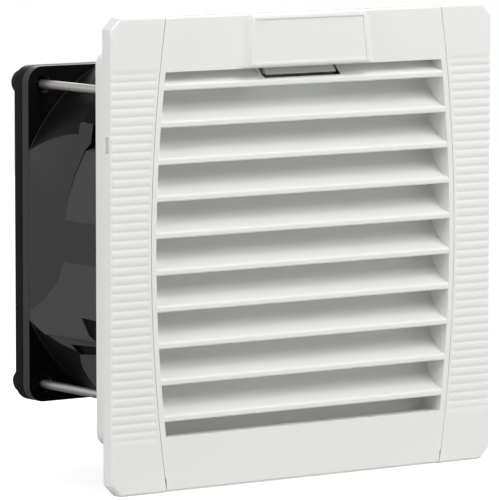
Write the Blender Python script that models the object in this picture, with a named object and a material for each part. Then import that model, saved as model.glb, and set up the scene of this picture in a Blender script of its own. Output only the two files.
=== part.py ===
"""Cabinet filter fan: a louvred front with a filter mat, and a compact fan behind the cabinet's door panel.

X points right and Z up, seen from the front. Y points into the cabinet. The origin is the middle of the
cut-out, on the door panel's outer face, which the flange's rear face rests on.
"""

from math import cos, pi, radians, sin, sqrt

import bmesh
import bpy
from mathutils import Matrix, Vector

MM = 0.001
GAP = 0.3 * MM  # between pieces that touch on the real object
OVERLAP = 1.0 * MM  # how far joined shapes run into each other
LONG = 200 * MM  # a cutter's length where it runs out of the part

# Front flange
FRONT_SIZE = 109 * MM
FLANGE_OVERHANG = 9 * MM
FRONT_CORNER = 2.6 * MM
EDGE_THICKNESS = 3.6 * MM
PLATE_THICKNESS = 1.3 * MM
EDGE_FILLET = 0.5 * MM
SEAM_BOW = 4.15 * MM
SEAM_GAP = 0.4 * MM
SEAM_STEPS = 20
RIDGE_PITCH = 2.0 * MM
GROOVE_WIDTH = 0.8 * MM
GROOVE_DEPTH = 0.25 * MM
PRY_NOTCH_HEIGHT = 3.6 * MM
PRY_NOTCH_Z = 25.8 * MM
PRY_NOTCH_DEPTH = 0.8 * MM
PRY_NOTCH_LENGTH = 1.9 * MM

# Housing behind the flange, for a 92 mm cut-out
FAN_BORDER = 5.5 * MM
HOUSING_CORNER = 3.0 * MM
HOUSING_WALL = 1.6 * MM
HOUSING_DEPTH = 16.1 * MM
REAR_WALL = 2.0 * MM
SEAT_HEIGHT = 1.2 * MM
SCREW_BOSS_RADIUS = 3.2 * MM
SCREW_BOSS_HEIGHT = 3.0 * MM
SCREW_HOLE_END = 0.6 * MM

# Gasket, mat and inlet guard
GASKET_WIDTH = 3.5 * MM
GASKET_GROOVE = 0.8 * MM
GASKET_INSET = 4.0 * MM
GASKET_CORNER = 4.0 * MM
MAT_PLAY = 2.0 * MM
MAT_CORNER = 2.0 * MM
GUARD_RIB = 1.3 * MM
GUARD_RING_DEPTH = 3.0 * MM
GUARD_RINGS = 3
GUARD_HUB_RADIUS = 5.0 * MM
GUARD_LIP_WIDTH = 2.6 * MM
GUARD_LIP_THICKNESS = 1.4 * MM

# Panel clips
CLIP_WIDTH = 11.4 * MM
CLIP_SPACING = 64 * MM
CLIP_THICKNESS = 1.4 * MM
CLIP_TIP_Y = 2.6 * MM
CLIP_PIVOT_Y = 12.3 * MM
CLIP_HOOK_HEIGHT = 1.7 * MM
CLIP_HOOK_RISE = 1.6 * MM

# Cover
FIELD_SIDE_PLAY = 0.55 * MM
FIELD_SIDE_WALL = 1.15 * MM
FIELD_TOP_PLAY = 0.9 * MM
FIELD_BOTTOM_PLAY = 0.8 * MM
RIM_FLARE = 0.35 * MM
COVER_WALL = 1.4 * MM
COVER_FRONT_WALL = 1.2 * MM
COVER_END_GAP = 0.2 * MM
FIELD_WALL = 1.2 * MM
LOUVRE_COUNT = 10
FIRST_LIP_DROP = 4.2 * MM
LAST_LIP_RISE = 3.63 * MM
LOUVRE_THICKNESS = 1.3 * MM
LOUVRE_LIP = 1.5 * MM
LIP_ROUND = 0.3 * MM
LOUVRE_RADIUS = 13.5 * MM
LOUVRE_FRONT_ANGLE = radians(25)
LOUVRE_REAR_ANGLE = radians(68)
LOUVRE_STEPS = 4
LOUVRE_INSET = 0.15 * MM
FIELD_DEPTH = 7.9 * MM
BLOCK_HALF_TOP = 16.2 * MM
BLOCK_HALF_BOTTOM = 17.4 * MM
BLOCK_TOP_INSET = 0.3 * MM
BLOCK_LIFT = 0.4 * MM
BLOCK_HEIGHT = 1.6 * MM
BLOCK_FLARE = 2.2 * MM
BLOCK_FIELD_BORDER = 1.1 * MM
BLOCK_FIELD_DEPTH = 0.35 * MM
HINGE_Y = -2.5 * MM
HINGE_RISE = 1.05 * MM
PEG_RADIUS = 0.6 * MM
PEG_PLAY = 0.1 * MM
PEG_LENGTH = 1.8 * MM

# Cover latch
RECESS_WIDTH = 22 * MM
RECESS_DROP = 1.8 * MM
LATCH_THICKNESS = 1.2 * MM
LATCH_LENGTH = 5.8 * MM
LATCH_NOSE = 1.6 * MM
LATCH_TAB_PLAY = 1.2 * MM
LATCH_TAB_DROP = 1.8 * MM
LATCH_TAB_SETBACK = 0.4 * MM
DETENT_DEPTH = 0.8 * MM

# Fan housing
FAN_DEPTH = 38 * MM
FAN_CORNER = 4.0 * MM
FAN_HOLE_INSET = 4.25 * MM
FAN_HOLE_RADIUS = 2.15 * MM
FRONT_FLANGE = 3.0 * MM
REAR_FLANGE = 2.7 * MM
DUCT_WALL = 2.0 * MM
DUCT_FLARE = 1.2 * MM
BARREL_REAR_SWELL = 4.4 * MM
BARREL_FRONT_SWELL = 7.4 * MM
FLARE_SWELL = 12.0 * MM
FLARE_DEPTH = 13.8 * MM
CORNER_RECESS_DEPTH = 1.8 * MM
CORNER_RECESS_DROP = 2.6 * MM
SLOT_DEPTH = 1.5 * MM
SLOT_WIDTH = 2.0 * MM
SLOT_FRONT_DROP = 3.4 * MM
SLOT_REAR_DROP = 2.2 * MM
HOLLOW_DEPTH = 1.1 * MM
HOLLOW_WIDTH = 3.3 * MM
HOLLOW_DROP = 7.5 * MM
HOLLOW_END = 0.8 * MM
STRUT_WIDTH = 4.0 * MM
STRUT_DEPTH = 3.0 * MM
MOTOR_BASE_RADIUS = 18.6 * MM
MOTOR_BASE_DEPTH = 3.4 * MM
TUBE_WALL = 1.5 * MM

# Motor and rotor
SHAFT_RADIUS = 2.0 * MM
BEARING_RADIUS = 4.5 * MM
BEARING_WIDTH = 4.0 * MM
STATOR_RADIUS = 15.6 * MM
STACK_SETBACK = 6.0 * MM
STACK_END_SPACE = 1.1 * MM
POLE_COUNT = 4
POLE_NECK = 6.0 * MM
POLE_SHOE = 2.2 * MM
POLE_SLOT = 2.0 * MM
CORE_RING = 2.6 * MM
COIL_WIDTH = 2.4 * MM
AIR_GAP = 0.5 * MM
CUP_WALL = 2.0 * MM
HUB_WALL = 1.6 * MM
HUB_FRONT_GAP = 2.3 * MM
HUB_REAR_GAP = 5.3 * MM
BEARING_SETBACK = 2.5 * MM
BEARING_LIFT = 3.6 * MM
SHAFT_TAIL = 1.4 * MM
BLADE_COUNT = 7
BLADE_THICKNESS = 1.3 * MM
BLADE_END_SPACE = 3.0 * MM
BLADE_HUB_TWIST = radians(32)
BLADE_TIP_TWIST = radians(56)
TIP_GAP = 0.8 * MM
CLIP_RING_THICKNESS = 0.5 * MM
CLIP_RING_RISE = 1.3 * MM

# Rear guard, screws and terminals
REAR_GUARD_THICKNESS = 3.1 * MM
REAR_GUARD_BAR = 2.0 * MM
REAR_GUARD_RINGS = 4
SCREW_RADIUS = 1.05 * MM
SCREW_HEAD_RADIUS = 2.2 * MM
SCREW_HEAD_HEIGHT = 1.8 * MM
SCREW_SEAT_RADIUS = 3.0 * MM
SCREW_SEAT_HEIGHT = 3.5 * MM
PIN_WIDTH = 2.8 * MM
PIN_THICKNESS = 0.5 * MM
PIN_LENGTH = 9.5 * MM
PIN_SPACING = 9.0 * MM
PIN_SETBACK = 4.0 * MM
PIN_WALL = 0.6 * MM

# Places along Y, from front to back
COVER_FRONT_Y = -EDGE_THICKNESS
PLATE_FRONT_Y = -PLATE_THICKNESS
COVER_REAR_Y = PLATE_FRONT_Y - GAP
LOUVRE_FRONT_Y = COVER_FRONT_Y + LOUVRE_INSET
FIELD_REAR_Y = COVER_FRONT_Y + FIELD_DEPTH
REAR_WALL_Y = HOUSING_DEPTH - REAR_WALL
GUARD_FRONT_Y = REAR_WALL_Y - SCREW_BOSS_HEIGHT
GUARD_REAR_Y = HOUSING_DEPTH - 0.1 * MM
MAT_FRONT_Y = FIELD_REAR_Y + GAP
MAT_REAR_Y = GUARD_FRONT_Y - GAP
SEAT_Y = HOUSING_DEPTH + SEAT_HEIGHT
FAN_FRONT_Y = SEAT_Y + GAP
FAN_REAR_Y = FAN_FRONT_Y + FAN_DEPTH
FLARE_END_Y = FAN_FRONT_Y + FLARE_DEPTH
REAR_GUARD_Y = FAN_REAR_Y + GAP
REAR_GUARD_REAR_Y = REAR_GUARD_Y + REAR_GUARD_THICKNESS
SCREW_SEAT_Y = REAR_GUARD_REAR_Y + SCREW_SEAT_HEIGHT
MOTOR_BASE_Y = FAN_REAR_Y - MOTOR_BASE_DEPTH

# Sizes that follow the front's size
FRONT_HALF = FRONT_SIZE / 2
HOUSING_SIZE = FRONT_SIZE - 2 * FLANGE_OVERHANG
HOUSING_HALF = HOUSING_SIZE / 2
CHAMBER_HALF = HOUSING_HALF - HOUSING_WALL
MAT_SIZE = 2 * (CHAMBER_HALF - MAT_PLAY)
FAN_SIZE = HOUSING_SIZE - 2 * FAN_BORDER
FAN_HALF = FAN_SIZE / 2
FAN_HOLE_PITCH = FAN_SIZE - 2 * FAN_HOLE_INSET
FAN_HOLE = FAN_HOLE_PITCH / 2
DUCT_RADIUS = FAN_HALF - DUCT_WALL
BARREL_REAR_RADIUS = FAN_HALF + BARREL_REAR_SWELL
BARREL_FRONT_RADIUS = FAN_HALF + BARREL_FRONT_SWELL
FLARE_RADIUS = FAN_HALF + FLARE_SWELL

# Motor sizes that follow
TUBE_INNER = BEARING_RADIUS + GAP
TUBE_OUTER = TUBE_INNER + TUBE_WALL
CORE_INNER = TUBE_OUTER + GAP
CORE_OUTER = CORE_INNER + CORE_RING
CUP_INNER = STATOR_RADIUS + AIR_GAP
CUP_OUTER = CUP_INNER + CUP_WALL
HUB_INNER = CUP_OUTER + GAP
HUB_OUTER = HUB_INNER + HUB_WALL
HUB_FRONT_Y = FAN_FRONT_Y + HUB_FRONT_GAP
CUP_REAR_Y = MOTOR_BASE_Y - HUB_REAR_GAP
HUB_LENGTH = CUP_REAR_Y - HUB_FRONT_Y
BLADE_LENGTH = HUB_LENGTH - BLADE_END_SPACE
CUP_FRONT_Y = HUB_FRONT_Y + HUB_WALL + GAP
STACK_FRONT_Y = CUP_FRONT_Y + CUP_WALL + STACK_SETBACK
STACK_LENGTH = CUP_REAR_Y - STACK_END_SPACE - STACK_FRONT_Y
FRONT_BEARING_Y = CUP_FRONT_Y + CUP_WALL + BEARING_SETBACK
REAR_BEARING_Y = MOTOR_BASE_Y - BEARING_LIFT
SHAFT_END_Y = REAR_BEARING_Y + BEARING_WIDTH + SHAFT_TAIL

# Cover sizes that follow
SCREW_CORNERS = {"top_left": (-1, 1), "top_right": (1, 1), "bottom_left": (-1, -1), "bottom_right": (1, -1)}
FIELD_HALF = CHAMBER_HALF - FIELD_SIDE_PLAY - FIELD_SIDE_WALL
FIELD_TOP = CHAMBER_HALF - FIELD_TOP_PLAY - FIELD_WALL
FIELD_BOTTOM = CHAMBER_HALF - FIELD_BOTTOM_PLAY - FIELD_WALL
FIELD_BOW = SEAM_BOW + RIM_FLARE
SEAM_HALF = FIELD_HALF + FIELD_SIDE_WALL + SEAM_GAP / 2
RIDGE_COUNT = round((FIELD_TOP + FIELD_BOTTOM) / RIDGE_PITCH)
LOUVRE_PITCH = (FIELD_TOP + FIELD_BOTTOM - FIRST_LIP_DROP - LAST_LIP_RISE) / (LOUVRE_COUNT - 1)
COVER_HALF = FRONT_HALF - COVER_END_GAP
HINGE_Z = -COVER_HALF + HINGE_RISE
BLOCK_TOP = COVER_HALF - BLOCK_TOP_INSET
BLOCK_BOTTOM = FIELD_TOP + BLOCK_LIFT
RECESS_BOTTOM = FIELD_TOP - RECESS_DROP
LATCH_TAB_HALF = RECESS_WIDTH / 2 - LATCH_TAB_PLAY


def clear_scene():
    for obj in list(bpy.data.objects):
        bpy.data.objects.remove(obj)


def make_material(name, color, roughness, metallic=0.0):
    material = bpy.data.materials.new(name)
    material.use_nodes = True
    shader = material.node_tree.nodes["Principled BSDF"]
    shader.inputs["Base Color"].default_value = (*color, 1.0)
    shader.inputs["Roughness"].default_value = roughness
    shader.inputs["Metallic"].default_value = metallic
    material.diffuse_color = (*color, 1.0)
    return material


# Shapes


def as_object(bm):
    """A mesh object of the bmesh, with its faces turned outward."""
    bmesh.ops.remove_doubles(bm, verts=bm.verts, dist=1e-7)
    bmesh.ops.recalc_face_normals(bm, faces=bm.faces)
    mesh = bpy.data.meshes.new("shape")
    bm.to_mesh(mesh)
    bm.free()
    obj = bpy.data.objects.new("shape", mesh)
    bpy.context.scene.collection.objects.link(obj)
    return obj


def extrude_outline(corners, step):
    """The closed prism that starts as the face through the corners and is moved by the step."""
    bm = bmesh.new()
    face = bm.faces.new([bm.verts.new(corner) for corner in corners])
    moved = bmesh.ops.extrude_face_region(bm, geom=[face], use_keep_orig=True)
    verts = [item for item in moved["geom"] if isinstance(item, bmesh.types.BMVert)]
    bmesh.ops.translate(bm, verts=verts, vec=step)
    return as_object(bm)


def prism_x(outline, x0, x1):
    """A prism along X over an outline of (y, z) points."""
    return extrude_outline([(x0, y, z) for y, z in outline], (x1 - x0, 0, 0))


def prism_y(outline, y0, y1):
    """A prism along Y over an outline of (x, z) points."""
    return extrude_outline([(x, y0, z) for x, z in outline], (0, y1 - y0, 0))


def prism_z(outline, z0, z1):
    """A prism along Z over an outline of (x, y) points."""
    return extrude_outline([(x, y, z0) for x, y in outline], (0, 0, z1 - z0))


def box(x0, x1, y0, y1, z0, z1):
    return prism_y([(x0, z0), (x1, z0), (x1, z1), (x0, z1)], y0, y1)


def turned(profile, steps=48, x=0.0, z=0.0):
    """A solid turned round an axis along Y through (x, z), from a closed profile of (radius, y) points."""
    bm = bmesh.new()
    verts = [bm.verts.new((radius, y, 0)) for radius, y in profile]
    edges = []
    for first, second in zip(verts, verts[1:] + verts[:1]):
        if first.co.x > 0 or second.co.x > 0:
            edges.append(bm.edges.new((first, second)))
    bmesh.ops.spin(
        bm, geom=verts + edges, cent=(0, 0, 0), axis=(0, 1, 0), angle=2 * pi, steps=steps, use_merge=True
    )
    bmesh.ops.translate(bm, verts=bm.verts, vec=(x, 0, z))
    return as_object(bm)


def rod_y(radius, y0, y1, steps=24, x=0.0, z=0.0):
    return prism_y(circle(radius, steps, x, z), y0, y1)


def circle(radius, steps, x=0.0, z=0.0):
    angles = [2 * pi * i / steps for i in range(steps)]
    return [(x + radius * cos(angle), z + radius * sin(angle)) for angle in angles]


def rounded_rectangle(half_x, half_z, radius, steps=4):
    """The outline of a rectangle about the origin, with round corners."""
    points = []
    for quarter, (side_x, side_z) in enumerate([(1, 1), (-1, 1), (-1, -1), (1, -1)]):
        for i in range(steps + 1):
            angle = (quarter + i / steps) * pi / 2
            points.append(
                (
                    side_x * (half_x - radius) + radius * cos(angle),
                    side_z * (half_z - radius) + radius * sin(angle),
                )
            )
    return points


def rounded_square(half, radius, steps=4):
    return rounded_rectangle(half, half, radius, steps)


def joined(objects):
    """One object of several shapes that don't touch."""
    bm = bmesh.new()
    for obj in objects:
        bm.from_mesh(obj.data)
        bpy.data.objects.remove(obj)
    return as_object(bm)


def combine(target, tools, operation):
    """Runs one Boolean of the target with each tool in turn, and removes the tools."""
    for tool in tools:
        modifier = target.modifiers.new("combine", "BOOLEAN")
        modifier.operation = operation
        modifier.solver = "EXACT"
        modifier.object = tool
        graph = bpy.context.evaluated_depsgraph_get()
        mesh = bpy.data.meshes.new_from_object(target.evaluated_get(graph))
        target.modifiers.remove(modifier)
        target.data = mesh
        bpy.data.objects.remove(tool)
    return target


def cut(target, *tools):
    return combine(target, tools, "DIFFERENCE")


def add(target, *tools):
    return combine(target, tools, "UNION")


def common(target, *tools):
    return combine(target, tools, "INTERSECT")


def turned_about_y(obj, angle):
    obj.data.transform(Matrix.Rotation(angle, 4, "Y"))
    return obj


def piece(name, obj, material, axis_point=None):
    """Names the finished solid, gives it its material, and puts its origin on its joint's axis."""
    obj.name = name
    obj.data.name = name
    obj.data.materials.clear()
    obj.data.materials.append(material)
    obj.data.shade_smooth()
    obj.data.set_sharp_from_angle(angle=radians(30))
    if axis_point:
        obj.data.transform(Matrix.Translation(-Vector(axis_point)))
        obj.location = axis_point
    return obj


# Curved seams between the cover and the side bands


def bowed_half(z, middle, bow):
    """Half the width of an outline that bulges by the bow in the middle of the front's height."""
    return middle - bow * (z / FRONT_HALF) ** 2


def seam_half(z):
    """Half the distance between the seams' centre lines at a height."""
    return bowed_half(z, SEAM_HALF, SEAM_BOW)


def bowed_outline(middle, bow, bottom, top):
    """The outline between two bowed sides, from bottom to top."""
    heights = [bottom + (top - bottom) * i / SEAM_STEPS for i in range(SEAM_STEPS + 1)]
    right = [(bowed_half(z, middle, bow), z) for z in heights]
    return right + [(-x, z) for x, z in reversed(right)]


def seam_outline(offset, bottom, top):
    """The outline between the two seams, moved outward by the offset."""
    return bowed_outline(SEAM_HALF + offset, SEAM_BOW, bottom, top)


def fillet_points(corner_y, corner_z, side_y, side_z, radius, steps=3):
    """Points round an outer edge of a (y, z) outline; the sides say which way the material lies."""
    points = []
    for i in range(steps + 1):
        angle = pi / 2 * i / steps
        points.append(
            (
                corner_y + side_y * radius * (1 - cos(angle)),
                corner_z + side_z * radius * (1 - sin(angle)),
            )
        )
    return points


# Base frame


def front_body():
    """The flange, full across and with its corners cut off, before the cover's seat is cut."""
    body = prism_y(rounded_square(FRONT_HALF, FRONT_CORNER, 1), COVER_FRONT_Y - OVERLAP, 0)
    for bevelled in (rounded_edges(prism_x), rounded_edges(prism_z)):
        common(body, bevelled)
    return body


def rounded_edges(prism):
    """A bar across the flange whose two long front edges are round."""
    front = COVER_FRONT_Y
    upper = fillet_points(front, FRONT_HALF, 1, -1, EDGE_FILLET)
    lower = fillet_points(front, -FRONT_HALF, 1, 1, EDGE_FILLET)
    profile = [(OVERLAP, FRONT_HALF)] + upper[::-1] + lower + [(OVERLAP, -FRONT_HALF)]
    if prism is prism_z:
        profile = [(z, y) for y, z in profile]
    return prism(profile, -FRONT_HALF - OVERLAP, FRONT_HALF + OVERLAP)


def ridge_grooves(side):
    """The grooves that leave ridges across one side band."""
    front = COVER_FRONT_Y
    grooves = []
    for i in range(RIDGE_COUNT + 1):
        z = (i - RIDGE_COUNT / 2) * RIDGE_PITCH
        outline = [(front - GROOVE_DEPTH, z - GROOVE_WIDTH), (front - GROOVE_DEPTH, z + GROOVE_WIDTH)]
        outline.append((front + GROOVE_DEPTH, z))
        start = side * (SEAM_HALF - SEAM_BOW - OVERLAP)
        grooves.append(prism_x(outline, start, side * (FRONT_HALF + OVERLAP)))
    return joined(grooves)


def pry_notch(side):
    """The sloped notch in the flange's outer edge, for a tool that lifts the frame off the panel."""
    outside = FRONT_HALF + OVERLAP
    rear = -EDGE_THICKNESS + EDGE_FILLET + PRY_NOTCH_LENGTH
    front = rear - PRY_NOTCH_LENGTH * (PRY_NOTCH_DEPTH + OVERLAP) / PRY_NOTCH_DEPTH
    inside = FRONT_HALF - PRY_NOTCH_DEPTH
    outline = [(side * outside, front), (side * inside, rear), (side * outside, rear)]
    half = PRY_NOTCH_HEIGHT / 2
    return prism_z(outline, PRY_NOTCH_Z - half, PRY_NOTCH_Z + half)


def gasket_ring(clearance, y0, y1):
    """The ring that the gasket fills, moved outward from its faces by the clearance."""
    outer = FRONT_HALF - GASKET_INSET + clearance
    inner = FRONT_HALF - GASKET_INSET - GASKET_WIDTH - clearance
    ring = prism_y(rounded_square(outer, GASKET_CORNER), y0, y1)
    return cut(ring, prism_y(rounded_square(inner, GASKET_CORNER / 2), y0 - OVERLAP, y1 + OVERLAP))


def clip_window(side_x, side_z):
    """The window that a panel clip swings in, in the housing's side wall."""
    half = CLIP_WIDTH / 2 + GAP
    middle = side_z * CLIP_SPACING / 2
    inner = side_x * (CHAMBER_HALF - OVERLAP)
    outer = side_x * (HOUSING_HALF + OVERLAP)
    rear = CLIP_PIVOT_Y + CLIP_THICKNESS / 2 + GAP
    return box(min(inner, outer), max(inner, outer), CLIP_TIP_Y - GAP, rear, middle - half, middle + half)


def base_frame():
    body = front_body()
    seat = seam_outline(SEAM_GAP / 2, -FRONT_HALF - OVERLAP, FRONT_HALF + OVERLAP)
    cut(body, prism_y(seat, COVER_FRONT_Y - OVERLAP, PLATE_FRONT_Y))
    cut(body, ridge_grooves(1), ridge_grooves(-1), pry_notch(1), pry_notch(-1))
    housing = prism_y(rounded_square(HOUSING_HALF, HOUSING_CORNER), -PLATE_THICKNESS / 2, HOUSING_DEPTH)
    fan_seat = prism_y(rounded_square(FAN_HALF, FAN_CORNER), REAR_WALL_Y + REAR_WALL / 2, SEAT_Y)
    add(body, housing, fan_seat)
    inner_corner = HOUSING_CORNER - HOUSING_WALL
    chamber = prism_y(rounded_square(CHAMBER_HALF, inner_corner), COVER_REAR_Y, REAR_WALL_Y)
    throat = rod_y(DUCT_RADIUS + GAP, REAR_WALL_Y - OVERLAP, SEAT_Y + OVERLAP, 48)
    cut(body, chamber, throat)
    boss_end = REAR_WALL_Y + REAR_WALL / 2
    bosses = [
        rod_y(SCREW_BOSS_RADIUS, GUARD_FRONT_Y, boss_end, 20, sx * FAN_HOLE, sz * FAN_HOLE)
        for sx, sz in SCREW_CORNERS.values()
    ]
    add(body, joined(bosses))
    holes = [
        rod_y(
            SCREW_RADIUS + GAP,
            GUARD_FRONT_Y + SCREW_HOLE_END,
            SEAT_Y + OVERLAP,
            16,
            sx * FAN_HOLE,
            sz * FAN_HOLE,
        )
        for sx, sz in SCREW_CORNERS.values()
    ]
    windows = [clip_window(sx, sz) for sx, sz in SCREW_CORNERS.values()]
    latch_half = RECESS_WIDTH / 2 - GAP
    latch_rear = COVER_FRONT_Y + COVER_FRONT_WALL + GAP + LATCH_LENGTH
    detent = box(
        -latch_half,
        latch_half,
        latch_rear - LATCH_NOSE - GAP,
        latch_rear + GAP,
        CHAMBER_HALF - OVERLAP,
        CHAMBER_HALF + DETENT_DEPTH,
    )
    peg_reach = seam_half(HINGE_Z) + SEAM_GAP / 2 + PEG_LENGTH + GAP
    start = seam_half(HINGE_Z) - OVERLAP
    sockets = [peg(side, PEG_RADIUS + PEG_PLAY, start, peg_reach) for side in (-1, 1)]
    cut(body, joined(holes), joined(windows), detent, joined(sockets))
    cut(body, gasket_ring(GAP, -GASKET_GROOVE, OVERLAP))
    return body


def peg(side, radius, x0, x1):
    """A round peg along X on the cover's hinge axis."""
    outline = [(HINGE_Y + x, HINGE_Z + z) for x, z in circle(radius, 16)]
    return prism_x(outline, side * x0, side * x1)


def panel_gasket():
    """The foam ring, as thick as the panel presses it."""
    return gasket_ring(0, GAP - GASKET_GROOVE, 0)


def filter_mat():
    return prism_y(rounded_square(MAT_SIZE / 2, MAT_CORNER, 3), MAT_FRONT_Y, MAT_REAR_Y)


def inlet_guard():
    """Rings on four bars across the throat; the bars are deeper and carry the mat."""
    outer = DUCT_RADIUS
    inner = outer - GUARD_RIB
    lip = outer + GUARD_LIP_WIDTH
    lip_rear = REAR_WALL_Y - GAP
    lip_front = lip_rear - GUARD_LIP_THICKNESS
    profile = [
        (inner, lip_front),
        (lip, lip_front),
        (lip, lip_rear),
        (outer, lip_rear),
        (outer, GUARD_REAR_Y),
        (inner, GUARD_REAR_Y),
    ]
    rings = [turned(profile)]
    step = (inner - GUARD_HUB_RADIUS) / (GUARD_RINGS + 1)
    ring_front = GUARD_REAR_Y - GUARD_RING_DEPTH
    for i in range(GUARD_RINGS):
        radius = GUARD_HUB_RADIUS + step * (i + 1)
        rings.append(ring(radius - GUARD_RIB / 2, radius + GUARD_RIB / 2, ring_front, GUARD_REAR_Y))
    rings.append(rod_y(GUARD_HUB_RADIUS, ring_front, GUARD_REAR_Y))
    guard = joined(rings)
    bars = []
    for i in range(4):
        bar = box(
            -inner - GUARD_RIB / 2,
            inner + GUARD_RIB / 2,
            GUARD_FRONT_Y,
            GUARD_REAR_Y - GUARD_RIB / 4,
            -GUARD_RIB / 2,
            GUARD_RIB / 2,
        )
        bars.append(turned_about_y(bar, pi / 4 * i + pi / 8))
    return add(guard, *bars)


def ring(inner, outer, y0, y1, steps=48):
    return turned([(inner, y0), (outer, y0), (outer, y1), (inner, y1)], steps)


def panel_clip(side_x, side_z):
    """An arm with a hook that springs out behind the panel's edge; its round end is where it bends."""
    outer = HOUSING_HALF - 0.1 * MM
    inner = outer - CLIP_THICKNESS
    middle_x = (outer + inner) / 2
    hook_y = CLIP_TIP_Y + CLIP_HOOK_RISE
    radius = CLIP_THICKNESS / 2
    outline = [
        (inner, CLIP_TIP_Y),
        (outer, CLIP_TIP_Y),
        (outer + CLIP_HOOK_HEIGHT, hook_y),
        (outer + CLIP_HOOK_HEIGHT, hook_y + 0.5 * MM),
        (outer, CLIP_PIVOT_Y - radius),
    ]
    for i in range(7):
        angle = pi * i / 6
        outline.append((middle_x + radius * cos(angle), CLIP_PIVOT_Y + radius * sin(angle)))
    outline = [(side_x * x, y) for x, y in outline]
    middle = side_z * CLIP_SPACING / 2
    return prism_z(outline, middle - CLIP_WIDTH / 2, middle + CLIP_WIDTH / 2)


def clip_pivot(side_x, side_z):
    middle_x = HOUSING_HALF - 0.1 * MM - CLIP_THICKNESS / 2
    return (side_x * middle_x, CLIP_PIVOT_Y, side_z * CLIP_SPACING / 2)


# Cover


def louvre_profile(lip_z):
    """A slat's (y, z) outline: an upright lip at the front, and an arc that climbs behind it."""
    start_y = LOUVRE_FRONT_Y + LIP_ROUND
    centre_y = start_y - LOUVRE_RADIUS * sin(LOUVRE_FRONT_ANGLE)
    centre_z = lip_z + LOUVRE_LIP + LOUVRE_RADIUS * cos(LOUVRE_FRONT_ANGLE)
    angles = [
        LOUVRE_FRONT_ANGLE + (LOUVRE_REAR_ANGLE - LOUVRE_FRONT_ANGLE) * i / LOUVRE_STEPS
        for i in range(LOUVRE_STEPS + 1)
    ]
    upper = [(centre_y + LOUVRE_RADIUS * sin(a), centre_z - LOUVRE_RADIUS * cos(a)) for a in angles]
    under = LOUVRE_RADIUS + LOUVRE_THICKNESS
    lower = [(centre_y + under * sin(a), centre_z - under * cos(a)) for a in reversed(angles)]
    lip = [(start_y, lip_z), (LOUVRE_FRONT_Y, lip_z + LIP_ROUND)]
    return upper + lower + lip + [(LOUVRE_FRONT_Y, lip_z + LOUVRE_LIP - LIP_ROUND)]


def louvres():
    """The slats, cut at their ends and top to run into the middle of the field's walls."""
    first = FIELD_TOP - FIRST_LIP_DROP
    reach = SEAM_HALF + OVERLAP
    slats = [
        prism_x(louvre_profile(first - i * LOUVRE_PITCH), -reach, reach) for i in range(LOUVRE_COUNT + 1)
    ]
    into = FIELD_WALL / 3
    limits = bowed_outline(FIELD_HALF + into, FIELD_BOW, -FIELD_BOTTOM - into, FIELD_TOP + into)
    bank = joined(slats)
    return common(bank, prism_y(limits, COVER_FRONT_Y - OVERLAP, FIELD_REAR_Y - LOUVRE_INSET))


def label_block():
    """The raised block at the top middle, with a hollow flare round its foot."""
    levels = 4
    bm = bmesh.new()
    rings = []
    for i in range(levels + 1):
        angle = pi / 2 * i / levels
        spread = BLOCK_FLARE * (1 - sin(angle))
        y = COVER_FRONT_Y - BLOCK_HEIGHT * (1 - cos(angle))
        rings.append(block_outline(spread, y))
    rings.insert(0, block_outline(BLOCK_FLARE, COVER_FRONT_Y + COVER_FRONT_WALL / 2))
    made = [[bm.verts.new(point) for point in points] for points in rings]
    for first, second in zip(made, made[1:]):
        for k in range(4):
            bm.faces.new((first[k], first[(k + 1) % 4], second[(k + 1) % 4], second[k]))
    bm.faces.new(made[0])
    bm.faces.new(made[-1])
    block = as_object(bm)
    field = block_outline(-BLOCK_FIELD_BORDER, 0)
    front = COVER_FRONT_Y - BLOCK_HEIGHT
    cutter = prism_y([(x, z) for x, _, z in field], front - OVERLAP, front + BLOCK_FIELD_DEPTH)
    return cut(block, cutter)


def block_outline(spread, y):
    """The block's corners, moved by the spread: outward at the sides only, inward all round."""
    top = BLOCK_TOP + min(spread, 0)
    bottom = BLOCK_BOTTOM - min(spread, 0)
    return [
        (-BLOCK_HALF_TOP - spread, y, top),
        (BLOCK_HALF_TOP + spread, y, top),
        (BLOCK_HALF_BOTTOM + spread, y, bottom),
        (-BLOCK_HALF_BOTTOM - spread, y, bottom),
    ]


def cover_shell():
    """The cover's plate with its skirt, rounded at the foot about the hinge axis."""
    edge = -SEAM_GAP / 2
    shell = prism_y(seam_outline(edge, -COVER_HALF, COVER_HALF), COVER_FRONT_Y - OVERLAP, COVER_REAR_Y)
    profile = [(COVER_REAR_Y, COVER_HALF)]
    profile += list(reversed(fillet_points(COVER_FRONT_Y, COVER_HALF, 1, -1, EDGE_FILLET)))
    profile += fillet_points(COVER_FRONT_Y, -COVER_HALF, 1, 1, EDGE_FILLET)
    foot = COVER_REAR_Y - HINGE_Y
    for i in range(7):
        angle = -pi / 2 + pi / 2 * i / 6
        profile.append((HINGE_Y + foot * cos(angle), HINGE_Z + HINGE_RISE * sin(angle)))
    common(shell, prism_x(profile, -FRONT_HALF, FRONT_HALF))
    pocket_front = COVER_FRONT_Y + COVER_FRONT_WALL
    skirt = edge - COVER_WALL
    top = seam_outline(skirt, FIELD_TOP + FIELD_WALL, COVER_HALF - COVER_WALL)
    bottom = seam_outline(skirt, -COVER_HALF + COVER_WALL, -FIELD_BOTTOM - FIELD_WALL)
    pockets = [prism_y(outline, pocket_front, COVER_REAR_Y + OVERLAP) for outline in (top, bottom)]
    return cut(shell, joined(pockets))


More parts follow.
